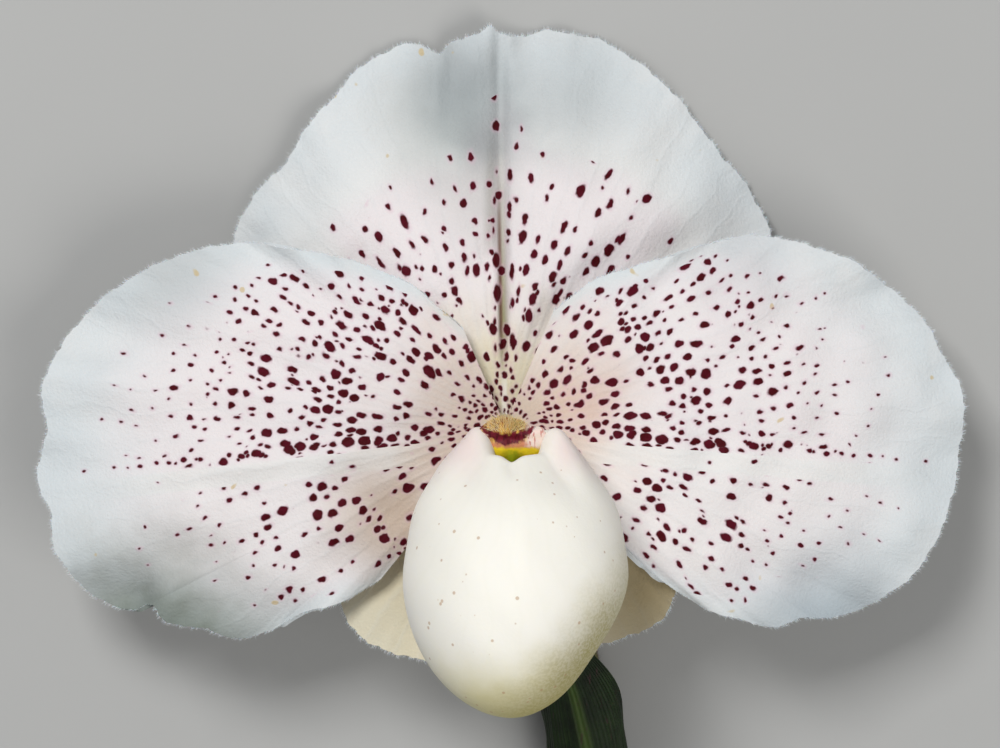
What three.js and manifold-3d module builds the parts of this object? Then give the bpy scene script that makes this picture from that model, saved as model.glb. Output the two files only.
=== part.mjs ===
// A cut bloom of a white slipper orchid with maroon spots, lying face up on a table.
// Millimetres, +Z up. The table is z = 0 and the origin is under the middle of the part.
// Inside the flower group x runs to the right of the face, y up to the hood, z out towards the viewer.
// The bloom rests on three low points: two on the hood's back and one on the stem's cut end.
import * as THREE from "three";
import { mergeVertices } from "three/addons/utils/BufferGeometryUtils.js";
import Module from "manifold-3d";

const wasm = await Module();
wasm.setup();

// ---- driving dimensions -------------------------------------------------------------------------
const lean = THREE.MathUtils.degToRad(10); // how far the hood lies back towards the table
const heart = new THREE.Vector3(0.45, 23.9, 12.22); // where every petal meets, in the part's frame
const rootGap = 0.35; // clearance between pieces that grow from each other
const rootRadius = 3.0; // receptacle that carries sepals, petals, slipper and column
const rootBack = -2.3; // its back face, where the ovary begins
const petalThickness = 0.85;
const sepalThickness = 0.8;

// ---- outlines in the plane of the face, counterclockwise from one side of the root to the other ----
const leftPetalOutline = [
  [-3.4, 7.9], [-5.7, 9.9], [-7.7, 11.6], [-10.6, 12.9], [-13.5, 13.9], [-17.6, 14.6],
  [-22.3, 15.2], [-27.3, 14.1], [-31.5, 12.1], [-35.3, 9.2], [-37.8, 5.8], [-38.9, 2.4], [-38.5, -0.7],
  [-39.5, -4.2], [-38.3, -7.2], [-37.9, -10.1], [-36.2, -13.0], [-33.6, -15.1], [-31.3, -15.6],
  [-29.7, -15.1], [-28.4, -16.5], [-25.2, -17.1], [-22.6, -17.9], [-19.7, -17.3], [-17.2, -15.8],
  [-13.5, -14.7], [-10.3, -12.8],
];
const rightPetalOutline = [
  [10.3, -10.5], [12.6, -12.6], [15.5, -14.6], [17.3, -15.6], [19.8, -16.3],
  [22.2, -16.9], [23.9, -16.6], [25.0, -16.1], [26.5, -16.2], [29.0, -15.9], [32.8, -13.9],
  [35.3, -11.4], [37.0, -8.0], [38.0, -4.6], [38.4, -1.3], [38.6, 2.1], [37.7, 4.3], [36.5, 6.4],
  [34.8, 9.3], [31.9, 11.8], [29.0, 13.7], [25.6, 14.9], [22.3, 15.7], [18.9, 15.6], [14.7, 14.3],
  [10.9, 13.2], [7.4, 12.0], [4.0, 9.4],
];
const hoodOutline = [
  [18.0, 7.8], [21.8, 12.0], [22.5, 15.8], [22.0, 17.8], [20.1, 21.0],
  [18.3, 22.9], [16.7, 25.0], [15.0, 27.2], [12.8, 29.4], [10.3, 31.3], [8.1, 32.5], [5.9, 33.0],
  [3.4, 33.3], [1.3, 32.8], [-0.5, 33.0], [-1.3, 33.6], [-2.2, 33.0], [-4.5, 32.2], [-5.5, 31.4],
  [-7.4, 32.2], [-9.0, 32.0], [-11.1, 31.0], [-13.2, 29.4], [-14.5, 27.6], [-16.7, 25.3],
  [-18.3, 22.5], [-20.8, 20.0], [-22.3, 17.8], [-23.0, 15.2], [-21.8, 11.0], [-17.5, 7.2],
];
const skirtOutline = [
  [-12.5, -8.8], [-14.0, -13.0], [-13.5, -15.8], [-11.9, -17.9],
  [-9.2, -19.2], [-6.4, -19.8], [-3.0, -20.4], [0.4, -21.0], [3.8, -20.2], [7.0, -18.8],
  [10.4, -17.7], [12.9, -16.6], [14.2, -14.3], [14.0, -11.4], [12.2, -8.2],
];

// ---- small helpers ------------------------------------------------------------------------------
const clamp01 = (value) => THREE.MathUtils.clamp(value, 0, 1);
const bump = (value, centre, width) => Math.exp(-(((value - centre) / width) ** 2));
const { lerp, smoothstep } = THREE.MathUtils;

// Ripples along a margin: each is [height, waves along the whole margin, phase in turns].
function ripple(ripples, along) {
  return ripples.reduce((sum, [height, waves, phase]) => {
    return sum + height * Math.sin(2 * Math.PI * (waves * along + phase));
  }, 0);
}

function geometryOf(points, triangles) {
  const geometry = new THREE.BufferGeometry();
  const flat = points.flatMap((point) => [point.x, point.y, point.z]);
  geometry.setAttribute("position", new THREE.Float32BufferAttribute(flat, 3));
  geometry.setIndex(triangles.flat());
  geometry.computeVertexNormals();
  return geometry;
}

// A thin closed blade. frontAt(across, out) gives its front face, both running 0..1, and the cross
// product of the outward and the across direction points out of that face. The back lies one
// thickness behind, along the face's own normal, and is split into the same triangles.
function bladeSolid(frontAt, thickness, acrossSteps, outSteps) {
  const step = 0.01;
  const front = [];
  const back = [];
  for (let i = 0; i <= acrossSteps; i += 1) {
    for (let j = 0; j <= outSteps; j += 1) {
      const across = i / acrossSteps;
      const out = j / outSteps;
      const low = frontAt(Math.max(across - step, 0), out);
      const high = frontAt(Math.min(across + step, 1), out);
      const inner = frontAt(across, Math.max(out - step, 0));
      const outer = frontAt(across, Math.min(out + step, 1));
      const normal = outer.sub(inner).cross(high.sub(low)).normalize();
      const here = frontAt(across, out);
      front.push(here);
      back.push(here.clone().addScaledVector(normal, -thickness));
    }
  }
  const at = (i, j) => i * (outSteps + 1) + j;
  const behind = (index) => index + front.length;
  const triangles = [];
  for (let i = 0; i < acrossSteps; i += 1) {
    for (let j = 0; j < outSteps; j += 1) {
      const corners = [at(i, j), at(i, j + 1), at(i + 1, j + 1), at(i + 1, j)];
      const [a, b, c, d] = corners;
      triangles.push([a, b, c], [a, c, d]);
      const [e, f, g, h] = corners.map(behind);
      triangles.push([e, g, f], [e, h, g]);
    }
  }
  const rim = [];
  for (let j = 0; j < outSteps; j += 1) rim.push(at(0, j));
  for (let i = 0; i < acrossSteps; i += 1) rim.push(at(i, outSteps));
  for (let j = outSteps; j > 0; j -= 1) rim.push(at(acrossSteps, j));
  for (let i = acrossSteps; i > 0; i -= 1) rim.push(at(i, 0));
  rim.forEach((a, k) => {
    const b = rim[(k + 1) % rim.length];
    triangles.push([a, behind(a), b], [b, behind(a), behind(b)]);
  });
  return geometryOf([...front, ...back], triangles);
}

// An open shell with a wall. outerAt(row, turn) runs from the closed pole, row 0, to the mouth.
function shellSolid(outerAt, wall, rows, sides) {
  const step = 0.04;
  const outer = [outerAt(0, 0)];
  const inner = [outerAt(0, 0).add(new THREE.Vector3(0, wall, 0))];
  for (let row = 1; row <= rows; row += 1) {
    for (let k = 0; k < sides; k += 1) {
      const turn = (2 * Math.PI * k) / sides;
      const up = outerAt(Math.min(row + step, rows), turn).sub(outerAt(row - step, turn));
      const round = outerAt(row, turn + step).sub(outerAt(row, turn - step));
      const normal = round.cross(up).normalize();
      const here = outerAt(row, turn);
      outer.push(here);
      inner.push(here.clone().addScaledVector(normal, -wall));
    }
  }
  const at = (row, k) => (row === 0 ? 0 : 1 + (row - 1) * sides + (k % sides));
  const within = (index) => index + outer.length;
  const triangles = [];
  for (let k = 0; k < sides; k += 1) {
    for (let row = 0; row < rows; row += 1) {
      const [a, b, c, d] = [at(row, k), at(row, k + 1), at(row + 1, k + 1), at(row + 1, k)];
      triangles.push([a, c, d], [a, d, c].map(within));
      if (row > 0) triangles.push([a, b, c], [a, c, b].map(within));
    }
    const [a, b] = [at(rows, k), at(rows, k + 1)];
    triangles.push([a, b, within(b)], [a, within(b), within(a)]);
  }
  return geometryOf([...outer, ...inner], triangles);
}

// A closed body swept along a curve. radiusAt(along, turn) gives its outline at each place.
function sweptSolid(curve, steps, sides, radiusAt) {
  const frames = curve.computeFrenetFrames(steps, false);
  const points = [];
  const triangles = [];
  for (let i = 0; i <= steps; i += 1) {
    const along = i / steps;
    for (let k = 0; k < sides; k += 1) {
      const turn = (2 * Math.PI * k) / sides;
      const radius = radiusAt(along, turn);
      const point = curve.getPointAt(along);
      point.addScaledVector(frames.normals[i], radius * Math.cos(turn));
      point.addScaledVector(frames.binormals[i], radius * Math.sin(turn));
      points.push(point);
    }
  }
  const start = points.push(curve.getPointAt(0)) - 1;
  const end = points.push(curve.getPointAt(1)) - 1;
  const at = (i, k) => i * sides + (k % sides);
  for (let k = 0; k < sides; k += 1) {
    for (let i = 0; i < steps; i += 1) {
      triangles.push([at(i, k), at(i, k + 1), at(i + 1, k + 1)]);
      triangles.push([at(i, k), at(i + 1, k + 1), at(i + 1, k)]);
    }
    triangles.push([start, at(0, k + 1), at(0, k)]);
    triangles.push([end, at(steps, k), at(steps, k + 1)]);
  }
  return geometryOf(points, triangles);
}

function smoothCurve(points) {
  return new THREE.CatmullRomCurve3(points.map(([x, y, z]) => new THREE.Vector3(x, y, z)));
}

// manifold-3d joins closed geometries here.
function toManifold(geometry) {
  const bare = new THREE.BufferGeometry();
  bare.setAttribute("position", geometry.getAttribute("position"));
  bare.setIndex(geometry.getIndex());
  const merged = mergeVertices(bare, 1e-3);
  return new wasm.Manifold(
    new wasm.Mesh({
      numProp: 3,
      vertProperties: merged.getAttribute("position").array,
      triVerts: new Uint32Array(merged.getIndex().array),
    }),
  );
}

function joined(...geometries) {
  const solids = geometries.map(toManifold);
  const whole = solids.slice(1).reduce((sum, solid) => sum.add(solid), solids[0]);
  const { numProp, vertProperties, triVerts } = whole.getMesh();
  const geometry = new THREE.BufferGeometry();
  geometry.setAttribute("position", new THREE.BufferAttribute(vertProperties, numProp));
  geometry.setIndex(new THREE.BufferAttribute(triVerts, 1));
  geometry.computeVertexNormals();
  return geometry;
}

function namedMesh(name, geometry, finish) {
  const mesh = new THREE.Mesh(geometry, new THREE.MeshStandardMaterial(finish));
  mesh.name = name;
  return mesh;
}

// ---- sepals and petals --------------------------------------------------------------------------
// Each is a fan from the root ring to its outline. depthAt gives how far it stands forward.
function floralBlade(outline, depthAt, thickness, acrossSteps, outSteps) {
  const margin = new THREE.SplineCurve(outline.map(([x, y]) => new THREE.Vector2(x, y)));
  const ringRadius = rootRadius + rootGap;
  const first = margin.getPointAt(0).angle();
  const turn = (margin.getPointAt(1).angle() - first + 2 * Math.PI) % (2 * Math.PI);
  const frontAt = (across, out) => {
    const angle = first + turn * across;
    const edge = margin.getPointAt(across);
    const x = lerp(ringRadius * Math.cos(angle), edge.x, out);
    const y = lerp(ringRadius * Math.sin(angle), edge.y, out);
    return new THREE.Vector3(x, y, depthAt(x, y, out, across));
  };
  return bladeSolid(frontAt, thickness, acrossSteps, outSteps);
}

// Ripples grow towards the margin and stay away from the root.
function rippled(shape, x, y, out, along) {
  return ripple(shape.ripples, along) * out ** 4 * clamp01(Math.hypot(x, y) / shape.calmRadius) ** 2;
}

const petalShape = {
  rootZ: 0.75, // front face beside the column
  rise: 0.1, // first forward slope
  arch: 0.0055, // then it bends back with the square of the reach
  lowerRoll: 0.006, // the half under the middle vein turns back further
};
const leftPetal = {
  veinAngle: THREE.MathUtils.degToRad(186.5),
  calmRadius: 24,
  ripples: [[0.75, 6.5, 0.1], [0.3, 10.5, 0.4]],
};
const rightPetal = {
  veinAngle: THREE.MathUtils.degToRad(-4.8),
  calmRadius: 24,
  ripples: [[0.65, 5.5, 0.35], [0.3, 10.5, 0.15]],
};
const cleft = { x: -29.7, y: -15.1, step: 0.8, width: 0.9, reach: 3.5 }; // a fold in the left margin

function petalDepth(petal, x, y, out, along) {
  const reach = Math.hypot(x, y);
  const { rootZ, rise, arch, lowerRoll } = petalShape;
  const side = Math.sign(Math.cos(petal.veinAngle));
  const below = side * (x * Math.sin(petal.veinAngle) - y * Math.cos(petal.veinAngle));
  const rolled = lowerRoll * Math.max(below, 0) ** 2;
  return rootZ + rise * reach - arch * reach ** 2 - rolled + rippled(petal, x, y, out, along);
}

function leftPetalDepth(x, y, out, along) {
  const nearby = bump(x, cleft.x, cleft.reach) * bump(y, cleft.y, cleft.reach);
  const fold = cleft.step * Math.tanh((x - cleft.x) / cleft.width) * nearby;
  return petalDepth(leftPetal, x, y, out, along) + fold;
}

function rightPetalDepth(x, y, out, along) {
  return petalDepth(rightPetal, x, y, out, along);
}

const hood = {
  rootZ: -0.65,
  rise: -0.02,
  arch: 0.0033,
  sideRoll: 0.0075, // both sides turn back
  length: 33,
  groove: 0.9, // depth of the middle crease
  grooveX: -0.45, // where the crease ends at the top
  grooveFoot: 0.9, // half its width at the foot
  grooveSpread: 3.2, // and how much it widens to the top
  tipCurl: 1.5, // the very tip lifts forward again
  tipX: -0.6,
  tipWidth: 2.4,
  tipFrom: 29,
  tipRise: 4, // the lift is whole this far above tipFrom
  calmRadius: 20,
  ripples: [[0.5, 4.5, 0.9], [0.25, 9.5, 0.3]],
};

function hoodDepth(x, y, out, along) {
  const reach = Math.hypot(x, y);
  const height = clamp01(y / hood.length);
  const aside = x - hood.grooveX * height;
  const grooveWidth = hood.grooveFoot + hood.grooveSpread * height ** 2;
  const crease = hood.groove * height * bump(aside, 0, grooveWidth);
  const lifted = clamp01((y - hood.tipFrom) / hood.tipRise) ** 2;
  const tip = hood.tipCurl * bump(aside, hood.tipX, hood.tipWidth) * lifted;
  const bent = hood.rootZ + hood.rise * reach - hood.arch * reach ** 2 - hood.sideRoll * x ** 2;
  return bent - crease + tip + rippled(hood, x, y, out, along);
}

const skirt = {
  rootZ: -0.65,
  rise: -0.09, // the two joined lower sepals lean back behind the slipper
  calmRadius: 18,
  ripples: [[0.35, 4.5, 0.2]],
};

function skirtDepth(x, y, out, along) {
  return skirt.rootZ + skirt.rise * Math.hypot(x, y) + rippled(skirt, x, y, out, along);
}

// ---- the slipper: a hollow egg with an inrolled mouth at the top ----------------------------------
const slipper = {
  middleX: 0.9,
  middleY: -12.2,
  halfWidth: 9.15,
  halfHeight: 11.4,
  frontDepth: 9.4, // forward of its axis
  backDepth: 6.7, // behind its axis
  mouthZ: 5.7, // depth of the axis at the mouth
  axisSlope: 0.18, // the axis comes forward going down
  toePower: 1.86, // below 2 the toe is more pointed than a plain oval
  toeTuck: 0.85, // the right side is drawn in by this much above the toe
  toeTuckY: -19,
  toeTuckReach: 4,
  pinch: 0.04, // the wall draws in towards the mouth by this share of its width
  pinchRow: 0.7, // share of the wall's length where that starts
  mouthTurn: THREE.MathUtils.degToRad(148), // how far the wall runs up before it rolls in
  mouthY: -1.65, // mean height of the rim
  mouthDip: 1.15, // front and back of the rim are lower and its shoulders higher by this much
  shoulderFrom: 0.5, // share of the half width where the level front starts to rise
  shoulderRow: 0.74, // share of the wall's length where that rise starts
  rollRadius: 1.0,
  rollFrom: THREE.MathUtils.degToRad(38),
  rollTo: THREE.MathUtils.degToRad(-80),
  wall: 0.8,
  bodyRows: 15,
  rollRows: 4,
  sides: 30,
};

function slipperPoint(row, turn) {
  const { middleX, middleY, halfWidth, halfHeight, mouthTurn, bodyRows, rollRows } = slipper;
  const share = Math.min(row, bodyRows) / bodyRows;
  const angle = mouthTurn * share;
  const power = angle < Math.PI / 2 ? slipper.toePower : 2;
  const out = Math.abs(Math.sin(angle)) ** (2 / power);
  const up = -Math.sign(Math.cos(angle)) * Math.abs(Math.cos(angle)) ** (2 / power);
  const side = Math.sin(turn);
  const ahead = Math.cos(turn);
  const depth = ahead > 0 ? slipper.frontDepth : slipper.backDepth;
  const plainY = middleY + halfHeight * up;
  const plainRim = middleY - halfHeight * Math.cos(mouthTurn);
  const shoulder = slipper.mouthDip * (2 * smoothstep(Math.abs(side), slipper.shoulderFrom, 1) - 1);
  const lift = (slipper.mouthY - plainRim) * clamp01(2 * share - 1) ** 2
    + shoulder * smoothstep(share, slipper.shoulderRow, 1);
  const drawnIn = 1 - slipper.pinch * smoothstep(share, slipper.pinchRow, 1);
  const axisZ = slipper.mouthZ + slipper.axisSlope * (slipper.mouthY - plainY);
  const tuck = slipper.toeTuck * Math.max(side, 0) * bump(plainY, slipper.toeTuckY, slipper.toeTuckReach);
  const point = new THREE.Vector3(
    middleX + halfWidth * out * side * drawnIn - tuck,
    plainY + lift,
    axisZ + depth * out * ahead,
  );
  if (row <= bodyRows) return point;
  const { rollFrom, rollTo, rollRadius } = slipper;
  const inward = new THREE.Vector3(-side * halfWidth, 0, -ahead * depth).normalize();
  const rolled = lerp(rollFrom, rollTo, (row - bodyRows) / rollRows);
  point.addScaledVector(inward, rollRadius * (Math.sin(rollFrom) - Math.sin(rolled)));
  point.y += rollRadius * (Math.cos(rolled) - Math.cos(rollFrom));
  return point;
}

// ---- column, anthers and the shield over the mouth ------------------------------------------------
const receptacle = { front: 1.3, edge: 0.5, sides: 24 }; // the disc that everything grows from
const column = {
  path: [[0, 0, -0.5], [0.1, -0.05, 2.0], [0.4, -0.4, 4.4], [0.65, -0.7, 7.1]],
  footRadius: 2.3,
  tipRadius: 0.95,
};
const columnTip = new THREE.Vector3(...column.path[3]);
const stigma = { radii: [1.37, 0.94, 1.25], fromTip: [-0.15, -1.05, -2.7] };
const anther = { radii: [0.36, 0.42, 0.46], aside: 1.84, fromTip: [0, -0.45, -1.1] };

function ellipsoid(radii, centre, sides, rings) {
  const ball = new THREE.SphereGeometry(1, sides, rings);
  ball.scale(...radii);
  ball.translate(centre.x, centre.y, centre.z);
  return ball;
}

function columnGeometry() {
  const { front, edge, sides } = receptacle;
  const profile = [
    [0, rootBack], [rootRadius - edge, rootBack], [rootRadius, rootBack + edge],
    [rootRadius, front - edge], [rootRadius - edge, front], [0, front],
  ];
  const disc = new THREE.LatheGeometry(profile.map(([r, z]) => new THREE.Vector2(r, z)), sides);
  disc.rotateX(Math.PI / 2);
  const radiusAt = (along) => lerp(column.footRadius, column.tipRadius, along);
  const stalk = sweptSolid(smoothCurve(column.path), 6, 16, radiusAt);
  const stigmaCentre = columnTip.clone().add(new THREE.Vector3(...stigma.fromTip));
  return joined(disc, stalk, ellipsoid(stigma.radii, stigmaCentre, 14, 9));
}

function antherGeometry(side) {
  const centre = columnTip.clone().add(new THREE.Vector3(...anther.fromTip));
  centre.x += side * anther.aside;
  return ellipsoid(anther.radii, centre, 12, 8);
}

// The shield is a lens with a small dome on its upper edge and a small tooth under its lower one.
const shield = {
  middle: new THREE.Vector3(0.7, -1.2, 8.0),
  outline: [
    [3.2, -1.2], [2.9, -0.5], [1.8, -0.15], [1.3, 0.35], [0.3, 0.6], [-0.8, 0.5],
    [-1.4, 0.0], [-1.6, -0.6], [-1.45, -1.3], [-1.1, -2.05], [-0.55, -2.6], [0.1, -2.8],
    [0.6, -3.2], [1.2, -2.8], [2.2, -2.65], [2.9, -2.1],
  ],
  halfThickness: 0.4,
  crown: 0.45, // its margin stands this far behind its middle
  tilt: THREE.MathUtils.degToRad(10), // its lower edge stands further back
  sides: 40,
  rings: 10,
};

function shieldGeometry() {
  const { middle, outline, halfThickness, crown, tilt, sides, rings } = shield;
  const loop = [...outline, outline[0]].map(([x, y]) => new THREE.Vector2(x, y));
  const margin = new THREE.SplineCurve(loop);
  const lens = new THREE.SphereGeometry(1, sides, rings);
  lens.rotateX(Math.PI / 2);
  const places = lens.getAttribute("position");
  for (let i = 0; i < places.count; i += 1) {
    const point = new THREE.Vector3().fromBufferAttribute(places, i);
    const out = Math.hypot(point.x, point.y);
    const turn = Math.atan2(point.y, point.x) / (2 * Math.PI);
    const edge = margin.getPointAt((turn + 1) % 1);
    point.set(
      (edge.x - middle.x) * out,
      (edge.y - middle.y) * out,
      halfThickness * point.z - crown * out ** 2,
    );
    point.applyAxisAngle(new THREE.Vector3(1, 0, 0), tilt).add(middle);
    places.setXYZ(i, point.x, point.y, point.z);
  }
  lens.computeVertexNormals();
  return lens;
}

// ---- stem: ovary, bract and scape, in the part's own frame ---------------------------------------
const towardsTable = new THREE.Vector3(0, -Math.sin(lean), -Math.cos(lean));
const ovaryStart = heart.clone().addScaledVector(towardsTable, rootGap - rootBack);
const ovaryEnd = new THREE.Vector3(8.1, -17.0, 2.35);
const ovaryPath = smoothCurve([
  ovaryStart.toArray(), [0.6, 22.2, 6.2], [1.3, 19.4, 3.6], [2.9, 14.8, 2.6],
  [5.1, 7.5, 2.45], [7.0, -1.0, 2.45], [7.9, -9.5, 2.45], ovaryEnd.toArray(),
]);
const ovary = {
  radius: 2.05,
  endRadius: 1.6,
  swellFrom: 0.25, // the swelling, as a share of a half wave
  swellOver: 0.65,
  ribs: 6,
  ribDepth: 0.13,
  twist: 1.2,
};

function ovaryRadius(along, turn) {
  const wave = Math.sin(Math.PI * (ovary.swellFrom + ovary.swellOver * along));
  const swell = (ovary.radius - ovary.endRadius) * wave;
  return ovary.endRadius + swell + ovary.ribDepth * Math.cos(ovary.ribs * turn + ovary.twist * along);
}

const bract = {
  start: 0.98, // where it clasps the ovary, as a share of the ovary's length
  tip: 0.52,
  tipShift: new THREE.Vector3(-0.3, 0, 0.9), // the tip stands off the ovary
  radius: 3.15,
  flare: 0.35, // it stands a little further off in the middle of its length
  grip: 0.33, // and closes in on the ovary at its foot
  gripReach: 0.3, // as a share of its length
  wrap: THREE.MathUtils.degToRad(98), // half of what it wraps at its foot
  footTurn: THREE.MathUtils.degToRad(16), // its keel starts to the right
  tipTurn: THREE.MathUtils.degToRad(-14), // and runs over to the left
  keel: 0.35,
  keelWidth: 0.12, // as a share of its width
  taper: 2.6, // it stays broad, then narrows fast to the tip
  tipShare: 0.97, // below 1 the tip is blunt
  thickness: 0.62,
};

function bractGeometry() {
  const { start, tip, tipShift, radius, wrap, footTurn, tipTurn, thickness, taper } = bract;
  const frontAt = (across, out) => {
    const along = lerp(start, tip, out);
    const centre = ovaryPath.getPointAt(along).addScaledVector(tipShift, out ** 2);
    const forward = ovaryPath.getTangentAt(along);
    const sideways = new THREE.Vector3(-forward.y, forward.x, 0).normalize();
    const width = Math.cos(0.5 * Math.PI * (bract.tipShare * out) ** taper);
    const angle = lerp(footTurn, tipTurn, out) + wrap * width * (1 - 2 * across);
    const keel = bract.keel * bump(across, 0.5, bract.keelWidth);
    const clasp = bract.grip * bump(out, 0, bract.gripReach);
    const away = radius + bract.flare * Math.sin(Math.PI * out) + keel - clasp;
    const point = centre.addScaledVector(sideways, away * Math.sin(angle));
    point.z += away * Math.cos(angle);
    return point;
  };
  return bladeSolid(frontAt, thickness, 10, 12);
}

const scape = {
  footRadius: 1.9,
  topRadius: 1.65,
  nodeSwell: 0.3, // a low node where the bract grows
  nodeReach: 0.04, // as a share of its length
};
const scapePath = smoothCurve([
  [8.1, -17.4, 2.35], [8.2, -27.0, 2.9], [7.6, -38.0, 3.1], [6.5, -47.5, 2.65], [5.0, -55.7, 1.86],
]);

function scapeRadius(along) {
  const node = scape.nodeSwell * bump(along, 0, scape.nodeReach);
  return lerp(scape.topRadius, scape.footRadius, along) + node;
}

// ---- the whole bloom ------------------------------------------------------------------------------
const petalFinish = { color: "#f3f1f0", roughness: 0.6, metalness: 0 };
const slipperFinish = { color: "#f7f3e6", roughness: 0.45, metalness: 0 };
const columnFinish = { color: "#cdb384", roughness: 0.55, metalness: 0 };
const shieldFinish = { color: "#b9a23c", roughness: 0.5, metalness: 0 };
const pollenFinish = { color: "#d8b84a", roughness: 0.6, metalness: 0 };
const ovaryFinish = { color: "#5d5a3a", roughness: 0.7, metalness: 0 };
const bractFinish = { color: "#3c5a24", roughness: 0.6, metalness: 0 };
const scapeFinish = { color: "#4b3a34", roughness: 0.75, metalness: 0 };

const flower = new THREE.Group();
flower.position.copy(heart);
flower.rotation.x = -lean;
const hoodBlade = floralBlade(hoodOutline, hoodDepth, sepalThickness, 38, 11);
const leftBlade = floralBlade(leftPetalOutline, leftPetalDepth, petalThickness, 44, 11);
const rightBlade = floralBlade(rightPetalOutline, rightPetalDepth, petalThickness, 44, 11);
const skirtBlade = floralBlade(skirtOutline, skirtDepth, sepalThickness, 24, 8);
flower.add(
  namedMesh("dorsal_sepal", hoodBlade, petalFinish),
  namedMesh("petal_left", leftBlade, petalFinish),
  namedMesh("petal_right", rightBlade, petalFinish),
  namedMesh("synsepal", skirtBlade, petalFinish),
  namedMesh(
    "lip_pouch",
    shellSolid(slipperPoint, slipper.wall, slipper.bodyRows + slipper.rollRows, slipper.sides),
    slipperFinish,
  ),
  namedMesh("column", columnGeometry(), columnFinish),
  namedMesh("staminode", shieldGeometry(), shieldFinish),
  namedMesh("anther_left", antherGeometry(-1), pollenFinish),
  namedMesh("anther_right", antherGeometry(1), pollenFinish),
);

const bloom = new THREE.Group();
bloom.add(
  flower,
  namedMesh("ovary", sweptSolid(ovaryPath, 22, 18, ovaryRadius), ovaryFinish),
  namedMesh("bract", bractGeometry(), bractFinish),
  namedMesh("scape", sweptSolid(scapePath, 14, 14, scapeRadius), scapeFinish),
);

export default bloom;
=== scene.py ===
import math

import bpy
import numpy as np
from mathutils import Matrix, Vector


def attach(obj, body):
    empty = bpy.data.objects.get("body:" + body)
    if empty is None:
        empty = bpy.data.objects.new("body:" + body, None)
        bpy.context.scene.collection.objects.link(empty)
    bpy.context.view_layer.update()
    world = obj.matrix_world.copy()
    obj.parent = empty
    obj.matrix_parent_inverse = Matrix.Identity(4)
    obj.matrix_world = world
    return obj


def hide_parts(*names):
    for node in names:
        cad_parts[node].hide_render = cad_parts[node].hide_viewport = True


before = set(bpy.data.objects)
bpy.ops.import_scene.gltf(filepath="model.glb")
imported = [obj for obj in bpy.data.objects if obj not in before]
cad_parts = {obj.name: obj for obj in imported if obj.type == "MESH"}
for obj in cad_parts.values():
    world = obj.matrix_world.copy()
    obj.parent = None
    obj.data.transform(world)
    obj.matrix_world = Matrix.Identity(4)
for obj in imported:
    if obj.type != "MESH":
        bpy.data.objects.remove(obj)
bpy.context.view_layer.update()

# A cut bloom of a white slipper orchid, lying face up. Lengths in the settings are millimetres.
# Flower axes: x right across the face, y up to the hood, z out of the face.
mm = 0.001
bloom = {
    "lean": math.radians(10),         # the hood lies back towards the table
    "heart": (0.45, 23.9, 12.22),     # where petals and sepals meet
    "rootRadius": 0.9,                # how close the blades run to the column
    "marginShare": 0.42,              # how much of a blade's thickness is left at its margin
}
faceTurn = Matrix.Rotation(-bloom["lean"], 4, "X")
faceAxes = np.array(faceTurn.to_3x3()).T
heart = Vector(bloom["heart"])


def toPart(x, y, z):                  # flower axes, mm -> part axes, metres
    return (np.stack([x, y, z], axis=-1) @ faceAxes + np.array(heart)) * mm


def clamp01(value):
    return np.clip(value, 0.0, 1.0)


def between(first, last, share):
    return first + (last - first) * share


def bump(value, centre, width):
    return np.exp(-((value - centre) / width) ** 2)


def smoothStep(value, start, end):
    share = clamp01((value - start) / (end - start))
    return share * share * (3 - 2 * share)


def waves(along, ripples):            # each ripple is [height, waves, phase in turns]
    return sum(h * np.sin(2 * np.pi * (n * along + phase)) for h, n, phase in ripples)


def unit(rows):                       # every row made one long
    return rows / np.maximum(np.linalg.norm(rows, axis=-1, keepdims=True), 1e-6)


def lineThrough(points, centripetal=False):
    # a smooth line through points, read back by its share of length
    knots = np.array(points, float)
    reflected = 1.0 if centripetal else 0.0
    before = knots[0] + reflected * (knots[0] - knots[1])
    after = knots[-1] + reflected * (knots[-1] - knots[-2])
    padded = np.vstack([before, knots, after])
    power = 0.5 if centripetal else 0.0
    t = np.linspace(0, 1, 40, endpoint=False)[:, None]
    fine = []
    for a, b, c, d in zip(padded, padded[1:], padded[2:], padded[3:]):
        ab, bc, cd = (max(np.linalg.norm(q - p), 1e-6) ** power for p, q in ((a, b), (b, c), (c, d)))
        leave = ((b - a) / ab - (c - a) / (ab + bc) + (c - b) / bc) * bc
        arrive = ((c - b) / bc - (d - b) / (bc + cd) + (d - c) / cd) * bc
        fine.append((2 * t**3 - 3 * t**2 + 1) * b + (t**3 - 2 * t**2 + t) * leave
                    + (3 * t**2 - 2 * t**3) * c + (t**3 - t**2) * arrive)
    fine = np.vstack(fine + [knots[-1:]])
    length = np.concatenate([[0], np.cumsum(np.linalg.norm(np.diff(fine, axis=0), axis=1))])

    def at(share):
        place = np.asarray(share) * length[-1]
        return np.stack([np.interp(place, length, fine[:, k]) for k in range(fine.shape[1])], axis=-1)
    return at


# modelling
def deselectAll():
    if bpy.context.object and bpy.context.object.mode != "OBJECT":
        bpy.ops.object.mode_set(mode="OBJECT")
    bpy.ops.object.select_all(action="DESELECT")


def pickOnly(piece):
    deselectAll()
    piece.select_set(True)
    bpy.context.view_layer.objects.active = piece


def editAll(*steps):                  # runs mesh operators on the whole active mesh
    bpy.ops.object.mode_set(mode="EDIT")
    bpy.ops.mesh.select_all(action="SELECT")
    for step in steps:
        step()
    bpy.ops.object.mode_set(mode="OBJECT")


def readPoints(piece):
    points = np.empty(len(piece.data.vertices) * 3)
    piece.data.vertices.foreach_get("co", points)
    return points.reshape(-1, 3)


def writePoints(piece, points):
    piece.data.vertices.foreach_set("co", np.ascontiguousarray(points, dtype=float).ravel())
    piece.data.update()


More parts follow.
